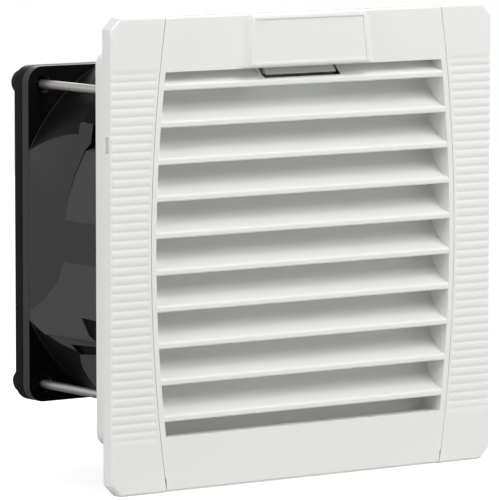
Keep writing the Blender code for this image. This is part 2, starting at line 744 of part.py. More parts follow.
def cover():
    body = cover_shell()
    frame_outline = seam_outline(-SEAM_GAP / 2, -FIELD_BOTTOM - FIELD_WALL, FIELD_TOP + FIELD_WALL)
    add(body, prism_y(frame_outline, COVER_FRONT_Y + COVER_FRONT_WALL / 2, FIELD_REAR_Y))
    opening = bowed_outline(FIELD_HALF, FIELD_BOW, -FIELD_BOTTOM, FIELD_TOP)
    cut(body, prism_y(opening, COVER_FRONT_Y - OVERLAP, FIELD_REAR_Y + OVERLAP))
    add(body, louvres(), label_block())
    half = RECESS_WIDTH / 2
    recess = box(
        -half,
        half,
        COVER_FRONT_Y + COVER_FRONT_WALL,
        FIELD_REAR_Y + OVERLAP,
        RECESS_BOTTOM,
        CHAMBER_HALF + OVERLAP,
    )
    cut(body, recess)
    start = seam_half(HINGE_Z) - SEAM_GAP / 2 - COVER_WALL / 2
    end = seam_half(HINGE_Z) + SEAM_GAP / 2 + PEG_LENGTH
    return add(body, *[peg(side, PEG_RADIUS, start, end) for side in (-1, 1)])


def latch_pivot():
    y = COVER_FRONT_Y + COVER_FRONT_WALL + GAP + LATCH_THICKNESS / 2
    z = CHAMBER_HALF - GAP - 0.2 * MM - LATCH_THICKNESS / 2
    return (0, y, z)


def cover_latch():
    """The springy tongue behind the block: a sloped tab below it to press, and a nose under the catch."""
    _, pivot_y, pivot_z = latch_pivot()
    radius = LATCH_THICKNESS / 2
    rear = pivot_y - radius + LATCH_LENGTH
    bottom = pivot_z - radius
    top = pivot_z + radius
    nose = (rear - LATCH_NOSE / 2, CHAMBER_HALF - GAP)
    arm = [(rear, bottom), (rear, top), nose, (rear - LATCH_NOSE, top)]
    for i in range(7):
        angle = pi / 2 + pi * i / 6
        arm.append((pivot_y + radius * cos(angle), pivot_z + radius * sin(angle)))
    half = RECESS_WIDTH / 2 - 2 * GAP
    front = pivot_y - radius + LATCH_TAB_SETBACK
    drop = bottom - LATCH_TAB_DROP
    joint = bottom + radius / 2
    tab = [(front, drop), (front + LATCH_TAB_DROP, joint), (front + 2 * LATCH_TAB_DROP, joint)]
    tab.append((front + LATCH_THICKNESS, drop))
    return add(prism_x(arm, -half, half), prism_x(tab, -LATCH_TAB_HALF, LATCH_TAB_HALF))


# Fan housing


def barrel():
    """The turned wall between the flanges: a flare at the inlet end, then a taper towards the outlet."""
    front = FAN_FRONT_Y + FRONT_FLANGE / 2
    profile = [(DUCT_RADIUS - OVERLAP, front)]
    for i in range(5):
        angle = pi / 2 * i / 4
        y = front + (FLARE_END_Y - front) * sin(angle)
        profile.append((BARREL_FRONT_RADIUS + (FLARE_RADIUS - BARREL_FRONT_RADIUS) * cos(angle), y))
    rear = FAN_REAR_Y - REAR_FLANGE / 2
    for i in range(1, 4):
        share = i / 3
        radius = BARREL_FRONT_RADIUS + (BARREL_REAR_RADIUS - BARREL_FRONT_RADIUS) * share**1.6
        profile.append((radius, FLARE_END_Y + (rear - FLARE_END_Y) * share))
    profile.append((DUCT_RADIUS - OVERLAP, rear))
    return turned(profile, 64)


def side_details():
    """Cutters for one side: a recess above, a slot under the barrel and a small three-cornered hollow."""
    outside = -FAN_HALF - OVERLAP
    start = FAN_FRONT_Y + FRONT_FLANGE
    end = FLARE_END_Y
    flush = sqrt(BARREL_FRONT_RADIUS**2 - FAN_HALF**2)
    slot_start = -flush + SLOT_FRONT_DROP
    slot_end = -flush + SLOT_REAR_DROP
    slot = [(start, slot_start), (end, slot_end)]
    slot += [(end, slot_end - SLOT_WIDTH), (start, slot_start - SLOT_WIDTH)]
    top = -flush + HOLLOW_DROP
    hollow = [(start, top), (end - HOLLOW_END, top + HOLLOW_END / 2), (start, top - HOLLOW_WIDTH)]
    recess_z = flush + CORNER_RECESS_DROP
    return [
        prism_x(slot, outside, -FAN_HALF + SLOT_DEPTH),
        prism_x(hollow, outside, -FAN_HALF + HOLLOW_DEPTH),
        box(outside, -FAN_HALF + CORNER_RECESS_DEPTH, start, end, recess_z, FAN_HALF - FAN_CORNER),
    ]


def fan_frame():
    body = barrel()
    wide = rounded_square(FAN_HALF + OVERLAP, FAN_CORNER)
    add(
        body,
        prism_y(wide, FAN_FRONT_Y, FAN_FRONT_Y + FRONT_FLANGE),
        prism_y(wide, FAN_REAR_Y - REAR_FLANGE, FAN_REAR_Y),
    )
    square = rounded_square(FAN_HALF, FAN_CORNER)
    common(body, prism_y(square, FAN_FRONT_Y - OVERLAP, FAN_REAR_Y + OVERLAP))
    for quarter in range(4):
        details = [turned_about_y(shape, quarter * pi / 2) for shape in side_details()]
        cut(body, joined(details))
    duct = [
        (0, FAN_FRONT_Y - OVERLAP),
        (DUCT_RADIUS + DUCT_FLARE, FAN_FRONT_Y - OVERLAP),
        (DUCT_RADIUS + DUCT_FLARE, FAN_FRONT_Y),
        (DUCT_RADIUS, FAN_FRONT_Y + 2 * FRONT_FLANGE),
        (DUCT_RADIUS, FAN_REAR_Y + OVERLAP),
        (0, FAN_REAR_Y + OVERLAP),
    ]
    cut(body, turned(duct))
    add(body, motor_mount())
    holes = [
        rod_y(FAN_HOLE_RADIUS, FAN_FRONT_Y - OVERLAP, FAN_REAR_Y + OVERLAP, 16, sx * FAN_HOLE, sz * FAN_HOLE)
        for sx, sz in SCREW_CORNERS.values()
    ]
    cut(body, joined(holes))
    return cut(body, *[pin_slot(side) for side in (-1, 1)])


def motor_mount():
    """The base disc on its four struts, with the bearing tube standing on it."""
    disc = rod_y(MOTOR_BASE_RADIUS, MOTOR_BASE_Y, FAN_REAR_Y - GAP, 48)
    reach = DUCT_RADIUS + OVERLAP
    for i in range(2):
        half = STRUT_WIDTH / 2
        strut = box(-reach, reach, FAN_REAR_Y - GAP - STRUT_DEPTH, FAN_REAR_Y - 2 * GAP, -half, half)
        add(disc, turned_about_y(strut, pi / 2 * i + pi / 4))
    tube = rod_y(TUBE_OUTER, FRONT_BEARING_Y, MOTOR_BASE_Y + OVERLAP, 32)
    add(disc, tube)
    bore = rod_y(TUBE_INNER, FRONT_BEARING_Y - OVERLAP, FAN_REAR_Y + OVERLAP, 32)
    return cut(disc, bore)


def pin_place(side):
    """Where a terminal pin leaves the frame's right side, towards the fan's rear."""
    return FAN_REAR_Y - REAR_FLANGE - PIN_SETBACK, side * PIN_SPACING / 2


def pin_slot(side):
    y, z = pin_place(side)
    half_y = PIN_THICKNESS / 2 + GAP
    half_z = PIN_WIDTH / 2 + GAP
    start = DUCT_RADIUS + PIN_WALL
    return box(start, FAN_HALF + OVERLAP, y - half_y, y + half_y, z - half_z, z + half_z)


def terminal_pin(side):
    y, z = pin_place(side)
    half_y = PIN_THICKNESS / 2
    half_z = PIN_WIDTH / 2
    start = DUCT_RADIUS + PIN_WALL + GAP
    end = start + PIN_LENGTH
    chamfer = PIN_THICKNESS
    outline = [
        (start, z - half_z),
        (end - chamfer, z - half_z),
        (end, z - half_z + chamfer),
        (end, z + half_z - chamfer),
        (end - chamfer, z + half_z),
        (start, z + half_z),
    ]
    return prism_y(outline, y - half_y, y + half_y)


# Motor


def stator_core():
    """The laminated star inside the rotor: a ring round the tube and four poles with shoes."""
    front, rear = STACK_FRONT_Y, STACK_FRONT_Y + STACK_LENGTH
    core = ring(CORE_INNER, CORE_OUTER, front, rear, 32)
    shoe_inner = STATOR_RADIUS - POLE_SHOE
    for i in range(POLE_COUNT // 2):
        neck = box(-shoe_inner - 0.5 * MM, shoe_inner + 0.5 * MM, front, rear, -POLE_NECK / 2, POLE_NECK / 2)
        cut(neck, rod_y(CORE_INNER + OVERLAP, front - OVERLAP, rear + OVERLAP, 32))
        add(core, turned_about_y(neck, 2 * pi / POLE_COUNT * i))
    shoes = ring(shoe_inner, STATOR_RADIUS, front, rear)
    half = POLE_SLOT / 2
    for i in range(POLE_COUNT // 2):
        gap = box(-LONG, LONG, front - OVERLAP, rear + OVERLAP, -half, half)
        cut(shoes, turned_about_y(gap, 2 * pi / POLE_COUNT * (i + 0.5)))
    return add(core, shoes)


def stator_coil(index):
    """The winding round one pole's neck."""
    inner_half_z = POLE_NECK / 2 + GAP
    y0 = STACK_FRONT_Y - GAP
    y1 = STACK_FRONT_Y + STACK_LENGTH + GAP
    start = CORE_OUTER + GAP
    end = STATOR_RADIUS - POLE_SHOE - GAP
    width = COIL_WIDTH
    coil = box(start, end + OVERLAP, y0 - width, y1 + width, -inner_half_z - width, inner_half_z + width)
    cut(coil, box(start - OVERLAP, end + 2 * OVERLAP, y0, y1, -inner_half_z, inner_half_z))
    common(coil, rod_y(end, y0 - 2 * width, y1 + 2 * width, 48))
    return turned_about_y(coil, 2 * pi / POLE_COUNT * index)


def bearing(y):
    """A shielded ball bearing, with a step between its rings."""
    inner = SHAFT_RADIUS + GAP / 2
    step = 0.3 * MM
    middle = (inner + BEARING_RADIUS) / 2
    half = 0.5 * MM
    profile = [
        (inner, y),
        (middle - half, y),
        (middle - half, y + step),
        (middle + half, y + step),
        (middle + half, y),
        (BEARING_RADIUS, y),
        (BEARING_RADIUS, y + BEARING_WIDTH),
        (inner, y + BEARING_WIDTH),
    ]
    return turned(profile, 24)


def bearing_spring():
    """The preload spring between the bearings, drawn as its outer sleeve."""
    inner = SHAFT_RADIUS + 2 * GAP
    return ring(inner, BEARING_RADIUS - GAP, FRONT_BEARING_Y + BEARING_WIDTH + GAP, REAR_BEARING_Y - GAP, 24)


def motor_cap():
    """The plug that closes the bearing tube behind the shaft's end."""
    return rod_y(TUBE_INNER - GAP, SHAFT_END_Y + GAP, FAN_REAR_Y - GAP, 32)


def rotor_cup():
    rear = CUP_REAR_Y
    profile = [
        (SHAFT_RADIUS + GAP, CUP_FRONT_Y),
        (CUP_OUTER, CUP_FRONT_Y),
        (CUP_OUTER, rear),
        (CUP_INNER, rear),
        (CUP_INNER, CUP_FRONT_Y + CUP_WALL),
        (SHAFT_RADIUS + GAP, CUP_FRONT_Y + CUP_WALL),
    ]
    return turned(profile)


def rotor_shaft():
    """The shaft, with the groove that its retaining ring sits in."""
    ring_y = retaining_ring_y()
    groove = SHAFT_RADIUS * 0.75
    profile = [
        (0, CUP_FRONT_Y),
        (SHAFT_RADIUS, CUP_FRONT_Y),
        (SHAFT_RADIUS, ring_y - GAP),
        (groove, ring_y - GAP),
        (groove, ring_y + CLIP_RING_THICKNESS + GAP),
        (SHAFT_RADIUS, ring_y + CLIP_RING_THICKNESS + GAP),
        (SHAFT_RADIUS, SHAFT_END_Y),
        (0, SHAFT_END_Y),
    ]
    return turned(profile, 24)


def retaining_ring_y():
    return REAR_BEARING_Y + BEARING_WIDTH + GAP


def retaining_ring():
    """An open ring in the shaft's groove, behind the rear bearing."""
    y = retaining_ring_y()
    inner = SHAFT_RADIUS * 0.75 + GAP / 2
    outer = SHAFT_RADIUS + CLIP_RING_RISE
    body = ring(inner, outer, y, y + CLIP_RING_THICKNESS, 24)
    half = SHAFT_RADIUS * 0.6
    return cut(body, box(0, outer + OVERLAP, y - OVERLAP, y + OVERLAP + CLIP_RING_THICKNESS, -half, half))


def blade(index):
    """One twisted blade, from inside the hub's wall to the tip."""
    root = (HUB_INNER + HUB_OUTER) / 2
    tip = DUCT_RADIUS - TIP_GAP
    stations = 5
    middle_y = HUB_FRONT_Y + HUB_WALL + BLADE_LENGTH / 2
    bm = bmesh.new()
    rings = []
    for i in range(stations):
        share = i / (stations - 1)
        radius = root + (tip - root) * share
        twist = BLADE_HUB_TWIST + (BLADE_TIP_TWIST - BLADE_HUB_TWIST) * share
        rings.append(
            [bm.verts.new(point) for point in blade_section(radius, twist, middle_y, share)]
        )
    count = len(rings[0])
    for first, second in zip(rings, rings[1:]):
        for k in range(count):
            bm.faces.new((first[k], first[(k + 1) % count], second[(k + 1) % count], second[k]))
    bm.faces.new(rings[0])
    bm.faces.new(rings[-1])
    return turned_about_y(as_object(bm), 2 * pi / BLADE_COUNT * index)


def blade_section(radius, twist, middle_y, share):
    """A cambered section wrapped round the axis at a radius."""
    length = BLADE_LENGTH * (1 - 0.12 * share)
    chord = length / cos(twist)
    camber = 0.09 * chord
    thickness = BLADE_THICKNESS * (1 - 0.35 * share)
    stations = (-0.5, -0.2, 0.15, 0.5)
    upper = [(chord * s, camber * (1 - 4 * s * s) + thickness * (0.55 - s * s)) for s in stations]
    lower = [(chord * s, camber * (1 - 4 * s * s) - thickness * (0.55 - s * s)) for s in reversed(stations)]
    points = []
    for along, across in upper + lower:
        y = middle_y + along * cos(twist) + across * sin(twist)
        arc = (-along * sin(twist) + across * cos(twist)) / radius
        points.append((radius * cos(arc), y, radius * sin(arc)))
    return points


def impeller():
    """The hub that is pressed over the rotor cup, and its blades."""
    round_edge = HUB_WALL
    profile = [
        (SHAFT_RADIUS + GAP, HUB_FRONT_Y),
        (HUB_OUTER - round_edge, HUB_FRONT_Y),
        (HUB_OUTER - 0.3 * round_edge, HUB_FRONT_Y + 0.3 * round_edge),
        (HUB_OUTER, HUB_FRONT_Y + round_edge),
        (HUB_OUTER, CUP_REAR_Y),
        (HUB_INNER, CUP_REAR_Y),
        (HUB_INNER, HUB_FRONT_Y + HUB_WALL),
        (SHAFT_RADIUS + GAP, HUB_FRONT_Y + HUB_WALL),
    ]
    hub = turned(profile)
    return add(hub, *[blade(i) for i in range(BLADE_COUNT)])


# Rear guard and screws


def rear_guard():
    """A square rim, rings and cross bars, with a raised seat for each screw's head."""
    rim = prism_y(rounded_square(FAN_HALF, FAN_CORNER), REAR_GUARD_Y, REAR_GUARD_REAR_Y)
    opening = DUCT_RADIUS - GAP
    cut(rim, rod_y(opening, REAR_GUARD_Y - OVERLAP, REAR_GUARD_REAR_Y + OVERLAP, 48))
    ring_rear = REAR_GUARD_REAR_Y
    ring_front = REAR_GUARD_Y + REAR_GUARD_THICKNESS / 3
    pitch = opening / (REAR_GUARD_RINGS + 0.5)
    half = REAR_GUARD_BAR / 2
    rings = [rim]
    for i in range(1, REAR_GUARD_RINGS + 1):
        radius = pitch * i
        rings.append(ring(radius - half, radius + half, ring_front, ring_rear))
    guard = joined(rings)
    reach = opening + OVERLAP
    for i in range(2):
        bar = box(-reach, reach, ring_front + half / 3, ring_rear - half / 3, -half, half)
        add(guard, turned_about_y(bar, pi / 2 * i))
    corners = SCREW_CORNERS.values()
    start = REAR_GUARD_REAR_Y - REAR_GUARD_THICKNESS / 2
    seats = [
        rod_y(SCREW_SEAT_RADIUS, start, SCREW_SEAT_Y, 20, sx * FAN_HOLE, sz * FAN_HOLE) for sx, sz in corners
    ]
    holes = [
        rod_y(
            SCREW_RADIUS + GAP,
            REAR_GUARD_Y - OVERLAP,
            SCREW_SEAT_Y + OVERLAP,
            16,
            sx * FAN_HOLE,
            sz * FAN_HOLE,
        )
        for sx, sz in corners
    ]
    add(guard, joined(seats))
    return cut(guard, joined(holes))


def fan_screw(side_x, side_z):
    """A long screw with a domed head behind the guard, whose point is in the base frame's boss."""
    head = SCREW_SEAT_Y + GAP
    point = GUARD_FRONT_Y + SCREW_HOLE_END + GAP
    profile = [(0, point), (SCREW_RADIUS * 0.5, point), (SCREW_RADIUS, point + SCREW_RADIUS)]
    profile += [(SCREW_RADIUS, head), (SCREW_HEAD_RADIUS, head)]
    for i in range(1, 5):
        angle = pi / 2 * i / 4
        profile.append((SCREW_HEAD_RADIUS * cos(angle), head + SCREW_HEAD_HEIGHT * sin(angle)))
    return turned(profile, 16, side_x * FAN_HOLE, side_z * FAN_HOLE)


def build():
    clear_scene()
    light_grey = make_material("light_grey_plastic", (0.79, 0.8, 0.77), 0.45)
    black = make_material("black_plastic", (0.035, 0.035, 0.036), 0.4)
    foam = make_material("grey_foam", (0.08, 0.08, 0.08), 0.95)
    fibre = make_material("white_fibre", (0.86, 0.86, 0.84), 1.0)
    steel = make_material("zinc_plated_steel", (0.62, 0.6, 0.58), 0.3, 1.0)
    iron = make_material("laminated_iron", (0.3, 0.3, 0.31), 0.45, 1.0)
    copper = make_material("enamelled_copper", (0.6, 0.25, 0.1), 0.35, 1.0)
    brass = make_material("tinned_brass", (0.7, 0.68, 0.62), 0.3, 1.0)

    piece("base_frame", base_frame(), light_grey)
    piece("panel_gasket", panel_gasket(), foam)
    piece("filter_mat", filter_mat(), fibre)
    piece("inlet_guard", inlet_guard(), light_grey)
    for name, (side_x, side_z) in SCREW_CORNERS.items():
        pivot = clip_pivot(side_x, side_z)
        piece(f"panel_clip_{name}", panel_clip(side_x, side_z), light_grey, pivot)
    piece("louvre_cover", cover(), light_grey, (0, HINGE_Y, HINGE_Z))
    piece("cover_latch", cover_latch(), light_grey, latch_pivot())
    piece("fan_frame", fan_frame(), black)
    piece("terminal_pin_upper", terminal_pin(1), brass)
    piece("terminal_pin_lower", terminal_pin(-1), brass)
    piece("stator_core", stator_core(), iron)
    for i in range(POLE_COUNT):
        piece(f"stator_coil_{i + 1}", stator_coil(i), copper)
    piece("front_bearing", bearing(FRONT_BEARING_Y), steel)
    piece("rear_bearing", bearing(REAR_BEARING_Y), steel)
    piece("bearing_spring", bearing_spring(), steel)
    piece("motor_cap", motor_cap(), black)
    piece("impeller", impeller(), black)
    piece("rotor_cup", rotor_cup(), iron)
    piece("rotor_shaft", rotor_shaft(), steel)
    piece("retaining_ring", retaining_ring(), steel)
    piece("rear_guard", rear_guard(), black)
    for name, (side_x, side_z) in SCREW_CORNERS.items():
        piece(f"fan_screw_{name}", fan_screw(side_x, side_z), steel)


build()
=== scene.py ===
from math import cos, pi, radians, sin, sqrt

import bmesh
import bpy
from mathutils import Matrix, Vector, noise


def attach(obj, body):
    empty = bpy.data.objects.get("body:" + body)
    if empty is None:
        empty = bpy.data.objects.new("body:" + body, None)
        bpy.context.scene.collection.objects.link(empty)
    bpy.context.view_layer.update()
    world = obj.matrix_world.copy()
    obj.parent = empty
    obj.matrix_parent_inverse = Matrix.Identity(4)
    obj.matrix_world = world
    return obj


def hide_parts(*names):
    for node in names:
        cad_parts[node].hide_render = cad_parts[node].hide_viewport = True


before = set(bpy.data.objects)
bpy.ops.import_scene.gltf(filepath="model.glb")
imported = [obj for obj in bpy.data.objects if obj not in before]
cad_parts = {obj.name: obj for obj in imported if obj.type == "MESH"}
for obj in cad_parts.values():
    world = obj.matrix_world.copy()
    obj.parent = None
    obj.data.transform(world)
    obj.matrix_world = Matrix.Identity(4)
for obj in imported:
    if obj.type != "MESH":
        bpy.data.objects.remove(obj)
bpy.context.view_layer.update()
mm = 0.001

# Base frame. One light grey moulding: the flange on the door with two side bands, ridged for grip, and the
# housing that goes through the cut-out. Its rear wall has a round throat, a low collar for the fan and four
# bosses for the fan's long screws.
FRONT_HALF = 54.5 * mm
CORNER_CUT = 2.6 * mm
FACE_Y = -3.6 * mm
PLATE_Y = -1.3 * mm
SEAM_HALF = 43.55 * mm
SEAM_BOW = 4.15 * mm
SEAM_SIDE = 0.06 * mm
HOUSING_HALF = 45.5 * mm
HOUSING_FRONT = -0.65 * mm
HOUSING_REAR = 16.1 * mm
CHAMBER_HALF = 43.9 * mm
WALL_FRONT = 14.1 * mm
WALL_MIDDLE = 15.1 * mm
COLLAR_HALF = 40 * mm
COLLAR_REAR = 17.3 * mm
THROAT_RADIUS = 38.3 * mm
BEHIND_FRAME = 19 * mm
CORNERS = {"top_left": (-1, 1), "top_right": (1, 1), "bottom_left": (-1, -1), "bottom_right": (1, -1)}
SCREW_AT = 35.75 * mm
SCREW_HOLE = 1.35 * mm
SCREW_HOLE_FRONT = 11.7 * mm
BOSS_FRONT = 11.1 * mm
BOSS_RADIUS = 3.2 * mm
CLIP_AT = 32 * mm
CLIP_WALL = 44.7 * mm
WINDOW_REACH = 1.8 * mm
WINDOW_HALF = 6 * mm
WINDOW_FRONT = 2.3 * mm
WINDOW_REAR = 13.3 * mm


def linked(bm, name):
    mesh = bpy.data.meshes.new(name)
    bm.to_mesh(mesh)
    bm.free()
    obj = bpy.data.objects.new(name, mesh)
    bpy.context.scene.collection.objects.link(obj)
    return obj


def new_object(bm, name="shape"):
    bmesh.ops.remove_doubles(bm, verts=bm.verts, dist=1e-7)
    bmesh.ops.recalc_face_normals(bm, faces=bm.faces)
    return linked(bm, name)


def prism(points, step):
    bm = bmesh.new()
    face = bm.faces.new([bm.verts.new(point) for point in points])
    moved = bmesh.ops.extrude_face_region(bm, geom=[face], use_keep_orig=True)["geom"]
    bmesh.ops.translate(bm, verts=[v for v in moved if isinstance(v, bmesh.types.BMVert)], vec=step)
    return new_object(bm)


def along_y(points, y0, y1):
    return prism([(x, y0, z) for x, z in points], (0, y1 - y0, 0))


def along_x(points, x0, x1):
    return prism([(x0, y, z) for y, z in points], (x1 - x0, 0, 0))


def along_z(points, z0, z1):
    return prism([(x, y, z0) for x, y in points], (0, 0, z1 - z0))


def block(x0, x1, y0, y1, z0, z1):
    return along_y([(x0, z0), (x1, z0), (x1, z1), (x0, z1)], y0, y1)


def rounded_square(half, radius, steps=8):
    points = []
    for quarter, (sx, sz) in enumerate([(1, 1), (-1, 1), (-1, -1), (1, -1)]):
        for i in range(steps + 1):
            angle = (quarter + i / steps) * pi / 2
            points.append((sx * (half - radius) + radius * cos(angle), sz * (half - radius) + radius * sin(angle)))
    return points


def circle(radius, steps=96, x=0.0, z=0.0):
    return [(x + radius * cos(2 * pi * i / steps), z + radius * sin(2 * pi * i / steps)) for i in range(steps)]


def bowed(z, middle, bow):
    """Half the width, at a height, of an outline whose sides bulge in the middle."""
    return middle - bow * (z / FRONT_HALF) ** 2


def bowed_shape(middle, bow, z0, z1, steps=48):
    right = [(bowed(z0 + (z1 - z0) * i / steps, middle, bow), z0 + (z1 - z0) * i / steps) for i in range(steps + 1)]
    return right + [(-x, z) for x, z in reversed(right)]


def joined(name, *objects):
    bm = bmesh.new()
    for obj in objects:
        bm.from_mesh(obj.data)
        bpy.data.objects.remove(obj)
    return linked(bm, name)


def at_screws(radius, y0, y1, steps=32):
    rods = [along_y(circle(radius, steps, sx * SCREW_AT, sz * SCREW_AT), y0, y1) for sx, sz in CORNERS.values()]
    return joined("at_screws", *rods)


def settle(obj):
    """Makes the object's modifiers part of its mesh."""
    graph = bpy.context.evaluated_depsgraph_get()
    mesh = bpy.data.meshes.new_from_object(obj.evaluated_get(graph))
    obj.modifiers.clear()
    obj.data = mesh
    return obj


def boolean(obj, operation, *tools):
    for tool in tools:
        modifier = obj.modifiers.new("boolean", "BOOLEAN")
        modifier.operation = operation
        modifier.solver = "EXACT"
        modifier.object = tool
        settle(obj)
        bpy.data.objects.remove(tool)
    return obj


def smooth(obj, angle=40):
    for polygon in obj.data.polygons:
        polygon.use_smooth = True
    obj.data.set_sharp_from_angle(angle=radians(angle))
    return obj


def soften(obj, width, segments=3, angle=35):
    """Rounds the edges and keeps the flats flat in the shading."""
    modifier = obj.modifiers.new("soften", "BEVEL")
    modifier.width = width
    modifier.segments = segments
    modifier.limit_method = "ANGLE"
    modifier.angle_limit = radians(angle)
    modifier.miter_outer = "MITER_ARC"
    modifier.use_clamp_overlap = True
    settle(obj)
    smooth(obj, 50)
    weighted = obj.modifiers.new("weighted", "WEIGHTED_NORMAL")
    weighted.keep_sharp = True
    return settle(obj)


def flange_reach(z):
    """The flange's half width at a height; its corners are cut off."""
    return FRONT_HALF - max(0.0, abs(z) - (FRONT_HALF - CORNER_CUT))


def edge_distance(x, z):
    """How far a point of the face lies inside the flange's outline."""
    from_cut = (2 * FRONT_HALF - CORNER_CUT - x - abs(z)) / sqrt(2)
    return min(FRONT_HALF - x, FRONT_HALF - abs(z), from_cut)


RIDGE_PITCH = 2.0 * mm
RIDGE_REACH = 42.0 * mm
RIDGE_DEPTH = 0.15 * mm
RIDGE_FULLNESS = 0.6
RIDGE_STEPS = 8
PLAIN_BY_SEAM = 0.5 * mm
RIDGE_FADE = 0.6 * mm
EDGE_ROUND = 0.6 * mm
SEAM_ROUND = 0.1 * mm
BAND_REAR = -0.3 * mm


def band_y(x, z):
    """The side band's face: flat with ridges across it, a rounded outer edge and a fine radius at the seam."""
    inside = max(0.0, edge_distance(x, z))
    y = FACE_Y
    from_seam = x - bowed(z, SEAM_HALF, SEAM_BOW) - SEAM_SIDE
    if abs(z) < RIDGE_REACH:
        ridge = abs(sin(pi * (z + RIDGE_REACH) / RIDGE_PITCH)) ** RIDGE_FULLNESS
        near_seam = min(1.0, max(0.0, (from_seam - PLAIN_BY_SEAM) / RIDGE_FADE))
        y += RIDGE_DEPTH * (1 - ridge) * near_seam
    if inside < EDGE_ROUND:
        y += EDGE_ROUND - sqrt(max(0.0, EDGE_ROUND**2 - (EDGE_ROUND - inside) ** 2))
    if from_seam < SEAM_ROUND:
        y += SEAM_ROUND - sqrt(max(0.0, SEAM_ROUND**2 - (SEAM_ROUND - from_seam) ** 2))
    return y


def side_band(side):
    """A grid with close rows over the ridges and close columns at both edges, in mm from them, made solid."""
    rows = [-FRONT_HALF + CORNER_CUT * (1 - cos(pi / 2 * i / 16)) for i in range(17)]
    corner_end = rows[-1]
    rows += [corner_end + i * (-RIDGE_REACH - corner_end) / 8 for i in range(1, 8)]
    ridge_rows = int(2 * RIDGE_REACH / RIDGE_PITCH) * RIDGE_STEPS
    rows += [-RIDGE_REACH + i * RIDGE_PITCH / RIDGE_STEPS for i in range(ridge_rows + 1)]
    rows = sorted(set(rows) | {-z for z in rows if z < -RIDGE_REACH})
    outer = [0, 0.03, 0.08, 0.15, 0.25, 0.36, 0.48, 0.6, 1.0, 1.6]
    inner = [0, 0.03, 0.07, 0.12, 0.2, 0.5, 0.7, 0.9, 1.1]
    plain_columns = 7
    columns = len(inner) + plain_columns + len(outer)
    bm = bmesh.new()
    bmesh.ops.create_grid(bm, x_segments=columns - 1, y_segments=len(rows) - 1, size=1)
    for vert in bm.verts:
        column = round((vert.co.x + 1) / 2 * (columns - 1))
        z = rows[round((vert.co.y + 1) / 2 * (len(rows) - 1))]
        near = bowed(z, SEAM_HALF, SEAM_BOW) + SEAM_SIDE
        far = flange_reach(z)
        if column < len(inner):
            x = near + inner[column] * mm
        elif column >= columns - len(outer):
            x = far - outer[columns - 1 - column] * mm
        else:
            share = (column - len(inner) + 1) / (plain_columns + 1)
            x = near + inner[-1] * mm + (far - near - (inner[-1] + outer[-1]) * mm) * share
        vert.co = (x, band_y(x, z), z)
    rim = [edge for edge in bm.edges if edge.is_boundary]
    down = bmesh.ops.extrude_edge_only(bm, edges=rim)["geom"]
    for vert in [item for item in down if isinstance(item, bmesh.types.BMVert)]:
        vert.co.y = BAND_REAR
    bmesh.ops.holes_fill(bm, edges=[edge for edge in bm.edges if edge.is_boundary])
    bmesh.ops.scale(bm, vec=(side, 1, 1), verts=bm.verts)
    return smooth(new_object(bm), 42)


GASKET_OUTER = 50.5 * mm
GASKET_INNER = 47 * mm
GASKET_PLAY = 0.3 * mm
CHANNEL_FLOOR = -0.8 * mm


def gasket_channel(grow, y0, y1):
    ring = along_y(rounded_square(GASKET_OUTER + grow, 4.0 * mm), y0, y1)
    return boolean(ring, "DIFFERENCE", along_y(rounded_square(GASKET_INNER - grow, 2.0 * mm), y0 - mm, y1 + mm))


plate = along_y(rounded_square(FRONT_HALF - 0.03 * mm, CORNER_CUT, 1), PLATE_Y, 0)
housing = along_y(rounded_square(HOUSING_HALF, 3 * mm), HOUSING_FRONT, HOUSING_REAR)
collar = along_y(rounded_square(COLLAR_HALF, 4 * mm), WALL_MIDDLE, COLLAR_REAR)
boolean(plate, "UNION", housing, collar)
boolean(plate, "DIFFERENCE", along_y(rounded_square(CHAMBER_HALF, 1.4 * mm), -3 * mm, WALL_FRONT))
boolean(plate, "DIFFERENCE", along_y(circle(THROAT_RADIUS, 128), WALL_FRONT - mm, BEHIND_FRAME))
boolean(plate, "UNION", at_screws(BOSS_RADIUS, BOSS_FRONT, WALL_MIDDLE))
boolean(plate, "DIFFERENCE", at_screws(SCREW_HOLE, SCREW_HOLE_FRONT, BEHIND_FRAME))
for side_x, side_z in CORNERS.values():
    wall_x, wall_z = side_x * CLIP_WALL, side_z * CLIP_AT
    through = (wall_x - WINDOW_REACH, wall_x + WINDOW_REACH)
    window = block(*through, WINDOW_FRONT, WINDOW_REAR, wall_z - WINDOW_HALF, wall_z + WINDOW_HALF)
    boolean(plate, "DIFFERENCE", window)
boolean(plate, "DIFFERENCE", gasket_channel(GASKET_PLAY, CHANNEL_FLOOR, mm))
soften(plate, 0.25 * mm, 2)
NOTCH_BOTTOM = 24 * mm
NOTCH_TOP = 27.6 * mm
PEG_Y = -2.5 * mm
PEG_Z = -53.25 * mm
PEG_HOLE = 0.72 * mm
PEG_HOLE_INNER = 38.0 * mm
PEG_HOLE_OUTER = 41.9 * mm
bands = []
for side in (-1, 1):
    band = side_band(side)
    notch = [(side * 55.5 * mm, -4.0 * mm), (side * 53.7 * mm, -1.2 * mm), (side * 55.5 * mm, -1.2 * mm)]
    boolean(band, "DIFFERENCE", along_z(notch, NOTCH_BOTTOM, NOTCH_TOP))
    peg_hole = circle(PEG_HOLE, 24, PEG_Y, PEG_Z)
    boolean(band, "DIFFERENCE", along_x(peg_hole, side * PEG_HOLE_INNER, side * PEG_HOLE_OUTER))
    bands.append(smooth(band, 42))
front_frame = joined("front_frame", plate, *bands)
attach(front_frame, "base")
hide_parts("base_frame")


def surface_group(name, given, put_out):
    """An empty shader node group with these inputs and outputs, which are colours or plain values."""
    group = bpy.data.node_groups.new(name, "ShaderNodeTree")
    for in_out, sockets in (("INPUT", given), ("OUTPUT", put_out)):
        for socket in sockets:
            kind = "NodeSocketColor" if "Color" in socket else "NodeSocketFloat"
            group.interface.new_socket(socket, in_out=in_out, socket_type=kind)
    return group


